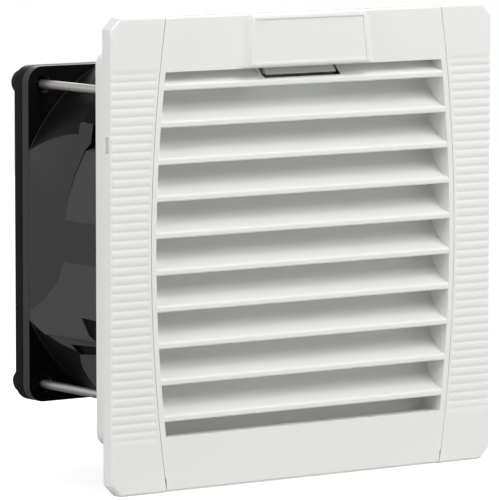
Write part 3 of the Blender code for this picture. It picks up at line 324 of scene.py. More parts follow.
def value_of(tree, operation, *terms):
    """The output of a Math node whose inputs are sockets to link or plain numbers."""
    node = tree.nodes.new("ShaderNodeMath")
    node.operation = operation
    for socket, term in zip(node.inputs, terms):
        if isinstance(term, bpy.types.NodeSocket):
            tree.links.new(term, socket)
        else:
            socket.default_value = term
    return node.outputs[0]


def moulded_surface():
    """A spark-eroded mould's fine grain and a faint cloudiness, for every moulded plastic and the foam."""
    group = surface_group(
        "moulded_surface", ("Color", "Roughness", "Clouding", "Grain"), ("Color", "Roughness", "Height")
    )
    nodes, links = group.nodes, group.links
    given = nodes.new("NodeGroupInput")
    out = nodes.new("NodeGroupOutput")
    place = nodes.new("ShaderNodeTexCoord")
    clouds = nodes.new("ShaderNodeTexNoise")
    clouds.inputs["Scale"].default_value = 35
    clouds.inputs["Detail"].default_value = 3
    grain = nodes.new("ShaderNodeTexNoise")
    grain.inputs["Detail"].default_value = 2
    links.new(place.outputs["Object"], clouds.inputs["Vector"])
    links.new(place.outputs["Object"], grain.inputs["Vector"])
    links.new(given.outputs["Grain"], grain.inputs["Scale"])
    centred = value_of(group, "SUBTRACT", clouds.outputs["Fac"], 0.5)
    amount = value_of(group, "MULTIPLY", centred, given.outputs["Clouding"])
    shade = nodes.new("ShaderNodeVectorMath")
    shade.operation = "SCALE"
    links.new(given.outputs["Color"], shade.inputs[0])
    links.new(value_of(group, "ADD", amount, 1.0), shade.inputs["Scale"])
    links.new(shade.outputs["Vector"], out.inputs["Color"])
    links.new(value_of(group, "ADD", given.outputs["Roughness"], amount), out.inputs["Roughness"])
    links.new(grain.outputs["Fac"], out.inputs["Height"])
    return group


def plain_material(name, metallic=0.0):
    material = bpy.data.materials.new(name)
    material.use_nodes = True
    shader = material.node_tree.nodes["Principled BSDF"]
    shader.inputs["Metallic"].default_value = metallic
    return material, shader


GRAIN_DEPTH = 0.00004


def dressed(name, group, values, bump, metallic=0.0):
    """A material whose colour, roughness and relief come from a surface group with the given values."""
    material, shader = plain_material(name, metallic)
    nodes, links = material.node_tree.nodes, material.node_tree.links
    surface = nodes.new("ShaderNodeGroup")
    surface.node_tree = group
    for socket, value in values.items():
        surface.inputs[socket].default_value = value
    links.new(surface.outputs["Color"], shader.inputs["Base Color"])
    links.new(surface.outputs["Roughness"], shader.inputs["Roughness"])
    relief = nodes.new("ShaderNodeBump")
    relief.inputs["Strength"].default_value = bump
    relief.inputs["Distance"].default_value = GRAIN_DEPTH
    links.new(surface.outputs["Height"], relief.inputs["Height"])
    links.new(relief.outputs["Normal"], shader.inputs["Normal"])
    return material


MOULDED = moulded_surface()


def moulded_plastic(name, color, roughness, clouding, grain, bump):
    values = {"Color": (*color, 1), "Roughness": roughness, "Clouding": clouding, "Grain": grain}
    return dressed(name, MOULDED, values, bump)


def finish_in(material, *objects):
    for obj in objects:
        obj.data.materials.clear()
        obj.data.materials.append(material)


light_grey = moulded_plastic("light_grey_plastic", (0.80, 0.81, 0.785), 0.48, 0.03, 4200, 0.3)
finish_in(light_grey, front_frame)

# Gasket. A ring of closed-cell foam in the flange's rear channel, pressed flush by the door panel. It is cut
# from sheet, so its faces show open pores and its edges are soft.
GASKET_FRONT = -0.5 * mm
gasket = soften(gasket_channel(0, GASKET_FRONT, 0), 0.12 * mm, 2)
gasket.name = "foam_gasket"
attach(gasket, "base")
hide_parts("panel_gasket")
foam = moulded_plastic("grey_foam", (0.07, 0.07, 0.072), 0.92, 0.5, 1900, 1.0)
finish_in(foam, gasket)

# Panel clips. Four springy tongues moulded in the housing's side walls, each with a hook that catches behind
# the door panel's edge and a round root that it bends about.
CLIP_WIDTH = 11.4 * mm
CLIP_OUTER = 45.4 * mm
CLIP_INNER = 44.0 * mm
CLIP_FRONT = 2.6 * mm
HOOK_REACH = 1.7 * mm
CLIP_ROOT_Y = 12.3 * mm
CLIP_ROOT_ROUND = 0.7 * mm
for corner, (side_x, side_z) in CORNERS.items():
    outline = [(CLIP_INNER, CLIP_FRONT), (CLIP_OUTER, CLIP_FRONT), (CLIP_OUTER + HOOK_REACH, 4.2 * mm)]
    outline += [(CLIP_OUTER + HOOK_REACH, 4.7 * mm), (CLIP_OUTER, 11.6 * mm)]
    for i in range(13):
        angle = pi * i / 12
        outline.append((CLIP_WALL + CLIP_ROOT_ROUND * cos(angle), CLIP_ROOT_Y + CLIP_ROOT_ROUND * sin(angle)))
    middle = side_z * CLIP_AT
    clip = along_z([(side_x * x, y) for x, y in outline], middle - CLIP_WIDTH / 2, middle + CLIP_WIDTH / 2)
    soften(clip, 0.15 * mm, 2)
    clip.name = f"spring_clip_{corner}"
    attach(clip, f"clip_{corner}")
    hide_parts(f"panel_clip_{corner}")
    finish_in(light_grey, clip)

# Inlet guard. A moulded grille in front of the throat that keeps the filter mat off the blades. The mat lies
# on the front edges of its four bars.
finish_in(light_grey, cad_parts["inlet_guard"])

# Filter mat. A pad of white polyester fibre, thermally bonded and cut to a square, that lies loose between
# the cover and the guard. Its faces are a felt of fine crossed fibres and its cut edges are soft.
MAT_HALF = 41.9 * mm
MAT_FRONT = 4.6 * mm
MAT_REAR = 10.8 * mm
MAT_PULL = 0.5 * mm
MAT_CROWN = 1.1 * mm
MAT_WAVE = 0.25 * mm
mat_bm = bmesh.new()
bmesh.ops.create_grid(mat_bm, x_segments=56, y_segments=56, size=1)
for vert in mat_bm.verts:
    u, v = vert.co.x, vert.co.y
    pull = MAT_PULL * (1 - u * u if abs(v) > abs(u) else 1 - v * v)
    from_rim = min(1.0, (1 - max(abs(u), abs(v))) / 0.06)
    wave = MAT_WAVE * noise.noise(Vector((u * 7, v * 7, 0.0)))
    crown = MAT_CROWN * (1 - sqrt(from_rim * (2 - from_rim))) + wave
    vert.co = (u * (MAT_HALF - pull * 0.5), MAT_FRONT + 0.3 * mm + crown, v * (MAT_HALF - pull * 0.5))
back = bmesh.ops.duplicate(mat_bm, geom=list(mat_bm.faces))["geom"]
for vert in [item for item in back if isinstance(item, bmesh.types.BMVert)]:
    vert.co.y = MAT_FRONT + MAT_REAR - vert.co.y
bmesh.ops.bridge_loops(mat_bm, edges=[edge for edge in mat_bm.edges if edge.is_boundary])
filter_pad = smooth(new_object(mat_bm, "filter_pad"), 80)
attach(filter_pad, "base")
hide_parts("filter_mat")
fibre, fibre_shader = plain_material("white_fibre")
nodes, links = fibre.node_tree.nodes, fibre.node_tree.links
place = nodes.new("ShaderNodeTexCoord")
heights = []
for turn, scale in ((0.6, 520), (-0.7, 610)):
    lay = nodes.new("ShaderNodeMapping")
    lay.inputs["Rotation"].default_value = (0, turn, 0)
    lay.inputs["Scale"].default_value = (0.09, 1, 1)
    strands = nodes.new("ShaderNodeTexNoise")
    strands.inputs["Scale"].default_value = scale * 4
    strands.inputs["Detail"].default_value = 4
    links.new(place.outputs["Object"], lay.inputs["Vector"])
    links.new(lay.outputs["Vector"], strands.inputs["Vector"])
    heights.append(strands.outputs["Fac"])
felt = value_of(fibre.node_tree, "MAXIMUM", *heights)
tone = nodes.new("ShaderNodeValToRGB")
tone.color_ramp.elements[0].position = 0.35
tone.color_ramp.elements[0].color = (0.62, 0.62, 0.6, 1)
tone.color_ramp.elements[1].position = 0.75
tone.color_ramp.elements[1].color = (0.86, 0.86, 0.84, 1)
links.new(felt, tone.inputs["Fac"])
links.new(tone.outputs["Color"], fibre_shader.inputs["Base Color"])
fibre_shader.inputs["Roughness"].default_value = 1.0
fibre_shader.inputs["Sheen Weight"].default_value = 0.2
felt_relief = nodes.new("ShaderNodeBump")
felt_relief.inputs["Strength"].default_value = 0.9
felt_relief.inputs["Distance"].default_value = 0.0003
links.new(felt, felt_relief.inputs["Height"])
links.new(felt_relief.outputs["Normal"], fibre_shader.inputs["Normal"])
finish_in(fibre, filter_pad)

# Louvre cover. A light grey moulding between the side bands, hinged on two pegs at its foot. Ten curved slats
# cross its bowed opening, each rising from an upright lip so that rain can't run in, and a raised block with
# hollow flanks sits over the latch.
COVER_HALF = 54.3 * mm
COVER_REAR = -1.6 * mm
COVER_WALL_FRONT = -2.4 * mm
FIELD_HALF = 42.2 * mm
FIELD_BOW = 4.5 * mm
FIELD_TOP = 41.8 * mm
FIELD_BOTTOM = 41.9 * mm
FIELD_REAR = 4.3 * mm
COVER_SIDE = SEAM_HALF - SEAM_SIDE
COVER_EDGE = 0.5 * mm
COVER_FOOT_ROUND = 1.05 * mm
COVER_THICK = 1.4 * mm
FIELD_RIM = 1.2 * mm
HAIR = 0.02 * mm


def arc(centre_y, centre_z, radius_y, radius_z, start, end, steps=6):
    """Points of an arc in the (y, z) plane, from one angle in degrees to another."""
    angles = [radians(start + (end - start) * i / steps) for i in range(steps + 1)]
    return [(centre_y + radius_y * cos(a), centre_z + radius_z * sin(a)) for a in angles]


cover_plate = along_y(bowed_shape(COVER_SIDE, SEAM_BOW, -COVER_HALF, COVER_HALF), FACE_Y - mm, COVER_REAR)
edge_y, edge_z = FACE_Y + COVER_EDGE, COVER_HALF - COVER_EDGE
side_profile = [(COVER_REAR, COVER_HALF)] + arc(edge_y, edge_z, COVER_EDGE, COVER_EDGE, 90, 180)
side_profile += arc(edge_y, -edge_z, COVER_EDGE, COVER_EDGE, 180, 270)
side_profile += arc(PEG_Y, -COVER_HALF + COVER_FOOT_ROUND, 0.9 * mm, COVER_FOOT_ROUND, -90, 0)
boolean(cover_plate, "INTERSECT", along_x(side_profile, -60 * mm, 60 * mm))

# The sides step back at the foot, so that the open cover stays clear of the bands.
foot_relief = [(39.43, -56.0), (39.43, -51.7), (39.9, -50.9), (42.0, -50.9), (42.0, -56.0)]
for side in (-1, 1):
    corner_off = [(side * x * mm, z * mm) for x, z in foot_relief]
    boolean(cover_plate, "DIFFERENCE", along_y(corner_off, FACE_Y - mm, 0))
skirt = COVER_SIDE - COVER_THICK
above_field = (FIELD_TOP + FIELD_RIM, COVER_HALF - COVER_THICK)
below_field = (-COVER_HALF + COVER_THICK, -FIELD_BOTTOM - FIELD_RIM)
for z0, z1 in (above_field, below_field):
    boolean(cover_plate, "DIFFERENCE", along_y(bowed_shape(skirt, SEAM_BOW, z0, z1), COVER_WALL_FRONT, 0))
opening = bowed_shape(FIELD_HALF, FIELD_BOW, -FIELD_BOTTOM, FIELD_TOP)
boolean(cover_plate, "DIFFERENCE", along_y(opening, FACE_Y - mm, mm))
soften(cover_plate, 0.16 * mm, 3, 40)

# The field's walls stand a hair inside the plate's, so that no two faces share a plane.
field_outline = bowed_shape(COVER_SIDE - HAIR, SEAM_BOW, -FIELD_BOTTOM - FIELD_RIM, FIELD_TOP + FIELD_RIM)
field = along_y(field_outline, COVER_REAR - 0.4 * mm, FIELD_REAR)
field_hole = bowed_shape(FIELD_HALF - HAIR, FIELD_BOW, -FIELD_BOTTOM + HAIR, FIELD_TOP - HAIR)
boolean(field, "DIFFERENCE", along_y(field_hole, FACE_Y - mm, FIELD_REAR + mm))

SLAT_FRONT = FACE_Y + 0.08 * mm
SLAT_PITCH = 8.43 * mm
SLAT_COUNT = 10
SLAT_RADIUS = 12.6 * mm
SLAT_THICK = 1.3 * mm
SLAT_TILT = 20
SLAT_START = SLAT_TILT - 90
SLAT_END = -25
FIRST_LIP = 4.2 * mm
LIP_HEIGHT = 1.5 * mm
LIP_SETBACK = 0.35 * mm
LIP_ROUND = 0.3 * mm
LIP_TOP_ROUND = 0.5 * mm
under = SLAT_RADIUS + SLAT_THICK
centre_y = SLAT_FRONT + LIP_SETBACK - SLAT_RADIUS * sin(radians(SLAT_TILT))
slats = []
for i in range(SLAT_COUNT + 1):  # the opening's foot cuts off the last one's lip
    lip = FIELD_TOP - FIRST_LIP - i * SLAT_PITCH
    centre_z = lip + LIP_HEIGHT + SLAT_RADIUS * cos(radians(SLAT_TILT))
    outline = arc(centre_y, centre_z, SLAT_RADIUS, SLAT_RADIUS, SLAT_START, SLAT_END, 20)
    outline += arc(centre_y, centre_z, under, under, SLAT_END, SLAT_START, 20)
    outline += arc(SLAT_FRONT + LIP_ROUND, lip + LIP_ROUND, LIP_ROUND, LIP_ROUND, 270, 180, 5)
    outline += arc(SLAT_FRONT + LIP_TOP_ROUND, lip + 1.05 * mm, LIP_TOP_ROUND, LIP_TOP_ROUND, 180, 112, 5)
    slats.append(along_x(outline, -45 * mm, 45 * mm))
slat_bank = joined("slat_bank", *slats)
into = 0.5 * mm
reach = bowed_shape(FIELD_HALF + into, FIELD_BOW, -FIELD_BOTTOM - into, FIELD_TOP + into)
boolean(slat_bank, "INTERSECT", along_y(reach, FACE_Y - mm, FIELD_REAR - 0.15 * mm))

RECESS_HALF = 11.05 * mm
RECESS_BOTTOM = 39.3 * mm
POCKET_HALF = 11.65 * mm
POCKET_TOP = 43.3 * mm
latch_pocket = block(-POCKET_HALF, POCKET_HALF, -2.2 * mm, FIELD_REAR, RECESS_BOTTOM - 0.6 * mm, POCKET_TOP)
in_front = [(-3.6 * mm, 38 * mm), (-1.9 * mm, RECESS_BOTTOM), (0.2 * mm, 41.7 * mm), (0.2 * mm, 45 * mm)]
boolean(latch_pocket, "DIFFERENCE", along_x(in_front + [(-3.6 * mm, 45 * mm)], -12 * mm, 12 * mm))
finger_room = (-RECESS_HALF, RECESS_HALF, -4 * mm, 3.95 * mm, RECESS_BOTTOM, 45 * mm)
for shape in (field, slat_bank, latch_pocket):
    boolean(shape, "DIFFERENCE", block(*finger_room))
    smooth(shape, 38)

BLOCK_TOP_HALF = 16.2 * mm
BLOCK_FOOT_HALF = 17.4 * mm
BLOCK_TOP = 54.0 * mm
BLOCK_FOOT = 42.2 * mm
BLOCK_MIDDLE = 48 * mm
BLOCK_RISE = 1.6 * mm
BLOCK_FLARE = 2.2 * mm
BLOCK_MARGIN = 0.75 * mm
BLOCK_SUNK = 0.35 * mm
FLANK_STEPS = 12


def block_corner(right, top, level):
    """A corner of the block's outline on the way up its hollow flank, from 0 at the foot to 1 at the face."""
    angle = level * pi / 2
    spread = BLOCK_FLARE * (1 - sin(angle))
    half = (BLOCK_TOP_HALF if top else BLOCK_FOOT_HALF) + spread
    z = BLOCK_TOP if top else BLOCK_FOOT
    return Vector((half if right else -half, FACE_Y - BLOCK_RISE * (1 - cos(angle)), z))


block_bm = bmesh.new()
foot = [block_corner(right, top, 0) for right, top in ((0, 0), (1, 0), (1, 1), (0, 1))]
face = block_bm.faces.new([block_bm.verts.new(corner + Vector((0, 0.6 * mm, 0))) for corner in foot])
for level in range(FLANK_STEPS + 1):
    grown = bmesh.ops.extrude_face_region(block_bm, geom=[face])["geom"]
    face = next(item for item in grown if isinstance(item, bmesh.types.BMFace))
    for vert in face.verts:
        vert.co = block_corner(vert.co.x > 0, vert.co.z > BLOCK_MIDDLE, level / FLANK_STEPS)
bmesh.ops.bevel(
    block_bm, geom=list(face.edges), affect="EDGES", offset=0.35 * mm, segments=3, profile=0.5, material=-1
)
block_bm.faces.ensure_lookup_table()
face = min(block_bm.faces, key=lambda item: item.calc_center_median().y - item.calc_area())
bmesh.ops.inset_region(block_bm, faces=[face], thickness=BLOCK_MARGIN, depth=0)
bmesh.ops.inset_region(block_bm, faces=[face], thickness=0.08 * mm, depth=-BLOCK_SUNK)
latch_block = smooth(new_object(block_bm), 32)

PEG_RADIUS = 0.6 * mm
PEG_INNER = 38.4 * mm
PEG_OUTER = 41.6 * mm
pegs = []
for side in (-1, 1):
    peg = circle(PEG_RADIUS, 24, PEG_Y, PEG_Z)
    pegs.append(smooth(along_x(peg, side * PEG_INNER, side * PEG_OUTER)))
louvre_front = joined("louvre_front", cover_plate, field, slat_bank, latch_pocket, latch_block, *pegs)
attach(louvre_front, "cover")
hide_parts("louvre_cover")
finish_in(light_grey, louvre_front)

# Cover latch. A springy tongue behind the block, with a nose that snaps under the housing's top wall and a
# sloped tab that a finger in the opening presses down, all moulded in one.
LATCH_Y = -1.5 * mm
LATCH_Z = 42.8 * mm
LATCH_REAR = 3.7 * mm
NOSE_Y = 2.9 * mm
NOSE_TOP = 43.6 * mm
TONGUE_HALF_THICK = 0.6 * mm
TONGUE_HALF = 10.4 * mm
TAB_HALF = 10.0 * mm
TAB_FOOT = 40.0 * mm
TAB_TOP = 42.3 * mm
tongue_bottom, tongue_top = LATCH_Z - TONGUE_HALF_THICK, LATCH_Z + TONGUE_HALF_THICK
outline = [(LATCH_REAR, tongue_bottom), (LATCH_REAR, tongue_top), (NOSE_Y, NOSE_TOP), (2.1 * mm, tongue_top)]
outline += arc(LATCH_Y, LATCH_Z, TONGUE_HALF_THICK, TONGUE_HALF_THICK, 90, 270, 10)
tongue = soften(along_x(outline, -TONGUE_HALF, TONGUE_HALF), 0.12 * mm, 2)
outline = [(-1.8 * mm, TAB_FOOT), (0.1 * mm, TAB_TOP), (1.9 * mm, TAB_TOP), (0.4 * mm, TAB_FOOT)]
tab = soften(along_x(outline, -TAB_HALF, TAB_HALF), 0.12 * mm, 2)
latch = joined("latch_tongue", tongue, tab)
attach(latch, "latch")
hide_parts("cover_latch")
# A slightly darker copy of the cover's grey: painted shade for the tab sunk in its slot.
latch_painted_shade_grey = moulded_plastic("latch_grey_plastic", (0.7, 0.7, 0.685), 0.5, 0.04, 4200, 0.3)
finish_in(latch_painted_shade_grey, latch)

# Fan housing. A black glass-filled moulding: a square flange at each end and, between them, a turned wall that
# flares at the inlet and is cut flat on the four sides. The turned parts, the sunk panels and the rear flange's
# front face are coloured near black as painted shade for the pockets' shadow, and the leaning facets a lighter
# grained black as painted light. Open corners let the long screws pass.
FAN_HALF = 40 * mm
FAN_CORNER = 4 * mm
FAN_FRONT = 17.6 * mm
FAN_REAR = 55.6 * mm
FRONT_FLANGE_REAR = 20.6 * mm
REAR_FLANGE_FRONT = 52.9 * mm
FLANGE_HOLE = 2.15 * mm
DUCT_RADIUS = 38 * mm
DUCT_MOUTH = 1.1 * mm
BEHIND_FAN = 60 * mm
WALL_INNER = 37 * mm
WALL_RADIUS = 47.4 * mm
WALL_TAPER = 3.0 * mm
WALL_REAR = 54.2 * mm
FLARE_REACH = 4.6 * mm
FLARE_START = 19.1 * mm
FLARE_LENGTH = 12.3 * mm
FLARE_END = 31.4 * mm
TUBE_OUTER = 6.3 * mm
TUBE_INNER = 4.8 * mm
TUBE_FRONT = 25.8 * mm
TUBE_REAR = 53 * mm
MOTOR_FACE = 52.2 * mm


def spun(profile, steps=96, x=0.0, z=0.0, closed=True):
    """A solid turned about an axis along Y, from (radius, y) points."""
    bm = bmesh.new()
    verts = [bm.verts.new((radius, y, 0)) for radius, y in profile]
    pairs = list(zip(verts, verts[1:])) + ([(verts[-1], verts[0])] if closed else [])
    edges = [bm.edges.new(pair) for pair in pairs if pair[0].co.x > 0 or pair[1].co.x > 0]
    bmesh.ops.spin(
        bm, geom=verts + edges, cent=(0, 0, 0), axis=(0, 1, 0), angle=2 * pi, steps=steps, use_merge=True
    )
    bmesh.ops.translate(bm, verts=bm.verts, vec=(x, 0, z))
    return new_object(bm)


def quarter_turned(obj, quarters):
    obj.data.transform(Matrix.Rotation(quarters * pi / 2, 4, "Y"))
    return obj


wall = [(WALL_INNER, 19 * mm)]
for i in range(17):
    angle = pi / 2 * i / 16
    wall.append((WALL_RADIUS + FLARE_REACH * cos(angle), FLARE_START + FLARE_LENGTH * sin(angle)))
for i in range(1, 13):
    share = i / 12
    wall.append((WALL_RADIUS - WALL_TAPER * share**1.6, FLARE_END + (WALL_REAR - FLARE_END) * share))
fan_wall = spun(wall + [(WALL_INNER, WALL_REAR)], 160)
boolean(fan_wall, "INTERSECT", along_y(rounded_square(FAN_HALF - 0.05 * mm, FAN_CORNER), 17 * mm, 56 * mm))

# Each flat side has sunk panels, and two facets that lean. They are drawn once as (y, z) in mm on the left side,
# with the depth each panel is cut to, and turned to the other three.
DEEP, SHALLOW = -38.3 * mm, -38.9 * mm
FLAT_X = -39.95 * mm
OUTSIDE_X = -42 * mm
LEAN_FROM_Y = 37.8 * mm
flat_cuts = [
    (DEEP, [(20.6, 28.2), (34.4, 28.1), (36.6, 29.6), (36.6, 34.0), (20.6, 36.0)]),
    (SHALLOW, [(29.2, 21.6), (26.4, 23.6), (25.4, 28.4), (20.6, 28.4), (20.6, 22.4), (26.0, 22.4)]),
    (SHALLOW, [(31.3, -17.6), (20.6, -18.0), (20.6, -24.5), (25.2, -22.9), (28.4, -21.6)]),
    (SHALLOW, [(35.0, -24.2), (20.6, -23.6), (20.6, -25.4), (31.0, -26.2)]),
]
lit_panel = [(28.9, 21.9), (33.2, 15.8), (36.2, 9.7), (37.5, 4.9), (30.3, 4.5), (20.6, 4.8), (20.6, 21.9)]
lit_leaf = [(38.0, -5.0), (40.6, -9.5), (46.2, -14.3), (52.8, -18.2), (52.8, -23.0), (20.6, -23.0), (20.6, -4.8)]
for quarter in range(4):
    cuts = [along_x([(y * mm, z * mm) for y, z in outline], OUTSIDE_X, depth) for depth, outline in flat_cuts]
    for outline, lean_y, lean_z, hinge_z in ((lit_panel, 0.03, 0, 0), (lit_leaf, 0.022, 0.025, -5.0 * mm)):
        facet = along_x([(y * mm, z * mm) for y, z in outline], OUTSIDE_X, FLAT_X)
        for vert in facet.data.vertices:
            if vert.co.x > OUTSIDE_X + mm:
                vert.co.x += lean_y * (LEAN_FROM_Y - vert.co.y) + lean_z * (hinge_z - vert.co.z)
        cuts.append(facet)
    for cut in cuts:
        boolean(fan_wall, "DIFFERENCE", quarter_turned(cut, quarter))
boolean(fan_wall, "DIFFERENCE", along_y(circle(DUCT_RADIUS, 128), 10 * mm, BEHIND_FAN))
smooth(fan_wall, 30)

flanges = []
for y0, y1, mouth in ((FAN_FRONT, FRONT_FLANGE_REAR, DUCT_MOUTH), (REAR_FLANGE_FRONT, FAN_REAR, 0)):
    flange = along_y(rounded_square(FAN_HALF, FAN_CORNER), y0, y1)
    boolean(flange, "DIFFERENCE", along_y(circle(DUCT_RADIUS + mouth, 128), y0 - mm, y1 + mm))
    boolean(flange, "DIFFERENCE", at_screws(FLANGE_HOLE, y0 - mm, y1 + mm))
    flanges.append(soften(flange, 0.35 * mm, 3))

MOTOR_RADIUS = 18.6 * mm
MOTOR_RECESS = 15.5 * mm
STRUT_REACH = 38.5 * mm
STRUT_HALF = 2 * mm
motor_base = along_y(circle(MOTOR_RADIUS, 96), MOTOR_FACE, FAN_REAR - 0.3 * mm)
for quarter in range(2):
    strut = block(-STRUT_REACH, STRUT_REACH, 52.3 * mm, 55.0 * mm, -STRUT_HALF, STRUT_HALF)
    strut.data.transform(Matrix.Rotation(pi / 4 + quarter * pi / 2, 4, "Y"))
    boolean(motor_base, "UNION", strut)
boolean(motor_base, "DIFFERENCE", along_y(circle(TUBE_INNER, 48), 40 * mm, BEHIND_FAN))
boolean(motor_base, "DIFFERENCE", along_y(circle(MOTOR_RECESS, 96), FAN_REAR - 0.7 * mm, BEHIND_FAN))
soften(motor_base, 0.3 * mm, 3)
tube_wall = [(TUBE_INNER, TUBE_FRONT), (TUBE_OUTER, TUBE_FRONT), (TUBE_OUTER, TUBE_REAR), (TUBE_INNER, TUBE_REAR)]
tube = smooth(spun(tube_wall, 48))
fan_body = joined("fan_body", fan_wall, *flanges, motor_base, tube)
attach(fan_body, "base")
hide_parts("fan_frame")


def black_plastic(name, color, roughness, clouding, grain, bump, specular):
    material = moulded_plastic(name, color, roughness, clouding, grain, bump)
    material.node_tree.nodes["Principled BSDF"].inputs["Specular IOR Level"].default_value = specular
    return material


black = black_plastic("glass_filled_black", (0.041, 0.041, 0.0415), 0.5, 0.25, 3000, 0.35, 0.1)
# A smoother, near-black copy of the housing's black; its darkness is painted shade for the pockets and the rear
# flange's front face.
painted_shade_black = black_plastic("painted_shade_black", (0.005, 0.005, 0.0051), 0.4, 0.2, 3000, 0.1, 0.03)
# A lighter, grained copy of the housing's black; its lightness is painted light for the leaning facets that catch
# the lamps.
grained_painted_light_black = black_plastic("grained_painted_light_black", (0.066, 0.067, 0.066), 0.6, 0.25, 2400, 0.6, 0.1)
finish_in(black, fan_body)
fan_body.data.materials.append(painted_shade_black)
fan_body.data.materials.append(grained_painted_light_black)
PAINTED_SHADE_SLOT, PAINTED_LIGHT_SLOT = 1, 2
NEARLY_FLAT = 0.98
SLIGHT_LEAN = 0.02
SUNK_WITHIN = 39 * mm
# Faces in the shaded pockets and the rear flange's front face take the painted shade copy, and leaning faces take
# the painted light copy.
for polygon in fan_body.data.polygons:
    middle, normal = polygon.center, polygon.normal
    across, along = sorted((abs(normal.x), abs(normal.z)))
    is_flange_face = normal.y < -NEARLY_FLAT and abs(middle.y - REAR_FLANGE_FRONT) < 0.1 * mm
    is_between_flanges = 20.7 * mm < middle.y < 52.8 * mm
    is_outside = is_between_flanges and sqrt(middle.x**2 + middle.z**2) > DUCT_RADIUS + 0.2 * mm
    is_sunk = along > NEARLY_FLAT and max(abs(middle.x), abs(middle.z)) < SUNK_WITHIN
    is_low_flare = middle.y < FLARE_END and middle.z < 0
    if is_flange_face or (is_outside and (is_sunk or along < NEARLY_FLAT and not is_low_flare)):
        polygon.material_index = PAINTED_SHADE_SLOT
    elif is_outside and (across > SLIGHT_LEAN or abs(normal.y) > SLIGHT_LEAN):
        polygon.material_index = PAINTED_LIGHT_SLOT

# Terminals. Two tinned brass blades pressed into the housing's right side, for the supply's push-on
# connectors, with chamfered tips.


def metal_surface():
    """Turned, rolled or wound metal: fine lines round or along the Y axis over a faint cloudiness."""
    group = surface_group(
        "metal_surface", ("Color", "Line Color", "Roughness", "Along", "Round"), ("Color", "Roughness", "Height")
    )
    nodes, links = group.nodes, group.links
    given = nodes.new("NodeGroupInput")
    out = nodes.new("NodeGroupOutput")
    place = nodes.new("ShaderNodeTexCoord")
    lines = nodes.new("ShaderNodeTexWave")
    lines.bands_direction = "Y"
    lines.inputs["Distortion"].default_value = 0.0
    rings = nodes.new("ShaderNodeTexWave")
    rings.wave_type = "RINGS"
    rings.rings_direction = "Y"
    rings.inputs["Distortion"].default_value = 0.0
    clouds = nodes.new("ShaderNodeTexNoise")
    clouds.inputs["Scale"].default_value = 160
    clouds.inputs["Detail"].default_value = 4
    for texture in (lines, rings, clouds):
        links.new(place.outputs["Object"], texture.inputs["Vector"])
    links.new(given.outputs["Along"], lines.inputs["Scale"])
    links.new(given.outputs["Round"], rings.inputs["Scale"])
    both = value_of(group, "MULTIPLY", lines.outputs["Fac"], rings.outputs["Fac"])
    mix = nodes.new("ShaderNodeMix")
    mix.data_type = "RGBA"
    links.new(both, mix.inputs["Factor"])
    links.new(given.outputs["Line Color"], mix.inputs["A"])
    links.new(given.outputs["Color"], mix.inputs["B"])
    links.new(mix.outputs["Result"], out.inputs["Color"])
    haze = value_of(group, "MULTIPLY_ADD", clouds.outputs["Fac"], 0.22, given.outputs["Roughness"])
    links.new(haze, out.inputs["Roughness"])
    links.new(both, out.inputs["Height"])
    return group


METAL = metal_surface()


def metal(name, color, line_color, roughness, along, round_, bump):
    """Along and round are the lines' spacing, as waves per metre over 2 pi; 0 leaves that set out."""
    values = {
        "Color": (*color, 1),
        "Line Color": (*line_color, 1),
        "Roughness": roughness,
        "Along": along,
        "Round": round_,
    }
    return dressed(name, METAL, values, bump, 1.0)


tin = metal("tinned_brass", (0.72, 0.7, 0.64), (0.6, 0.58, 0.53), 0.24, 0, 900, 0.15)
TERMINAL_ROOT_X = 38.9 * mm
TERMINAL_TIP_X = 48.4 * mm
TERMINAL_CHAMFER_X = TERMINAL_TIP_X - 0.6 * mm
TERMINAL_HALF = 1.4 * mm
TERMINAL_TIP_HALF = 0.8 * mm
TERMINAL_HOLE_X = 45.6 * mm
TERMINAL_HOLE_RADIUS = 0.6 * mm
for level, middle in (("upper", 4.5 * mm), ("lower", -4.5 * mm)):
    bottom, top = middle - TERMINAL_HALF, middle + TERMINAL_HALF
    outline = [(TERMINAL_ROOT_X, bottom), (TERMINAL_CHAMFER_X, bottom)]
    outline += [(TERMINAL_TIP_X, middle - TERMINAL_TIP_HALF), (TERMINAL_TIP_X, middle + TERMINAL_TIP_HALF)]
    outline += [(TERMINAL_CHAMFER_X, top), (TERMINAL_ROOT_X, top)]
    terminal = along_y(outline, 48.65 * mm, 49.15 * mm)
    hole = along_y(circle(TERMINAL_HOLE_RADIUS, 24, TERMINAL_HOLE_X, middle), 48 * mm, 50 * mm)
    boolean(terminal, "DIFFERENCE", hole)
    soften(terminal, 0.1 * mm, 2)
    terminal.name = f"push_on_terminal_{level}"
    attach(terminal, "base")
    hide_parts(f"terminal_pin_{level}")
    finish_in(tin, terminal)

# Motor. A shaded-pole stator on the housing's bearing tube: a stack of stamped iron with four poles, a coil
# of enamelled copper wire on each, two ball bearings with a preload spring between them, and a plug.
iron = metal("stamped_iron", (0.34, 0.34, 0.35), (0.14, 0.14, 0.15), 0.36, 320, 0, 0.9)
copper = metal("enamelled_copper", (0.66, 0.27, 0.11), (0.3, 0.1, 0.04), 0.26, 0, 520, 1.0)
bearing_steel = metal("bearing_steel", (0.66, 0.66, 0.66), (0.56, 0.56, 0.56), 0.16, 0, 1400, 0.2)
spring_steel = metal("spring_steel", (0.5, 0.5, 0.5), (0.2, 0.2, 0.2), 0.28, 260, 0, 1.0)
finish_in(iron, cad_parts["stator_core"])
finish_in(copper, *[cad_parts[f"stator_coil_{i}"] for i in (1, 2, 3, 4)])
finish_in(bearing_steel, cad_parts["front_bearing"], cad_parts["rear_bearing"])
finish_in(spring_steel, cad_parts["bearing_spring"])
finish_in(black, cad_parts["motor_cap"])

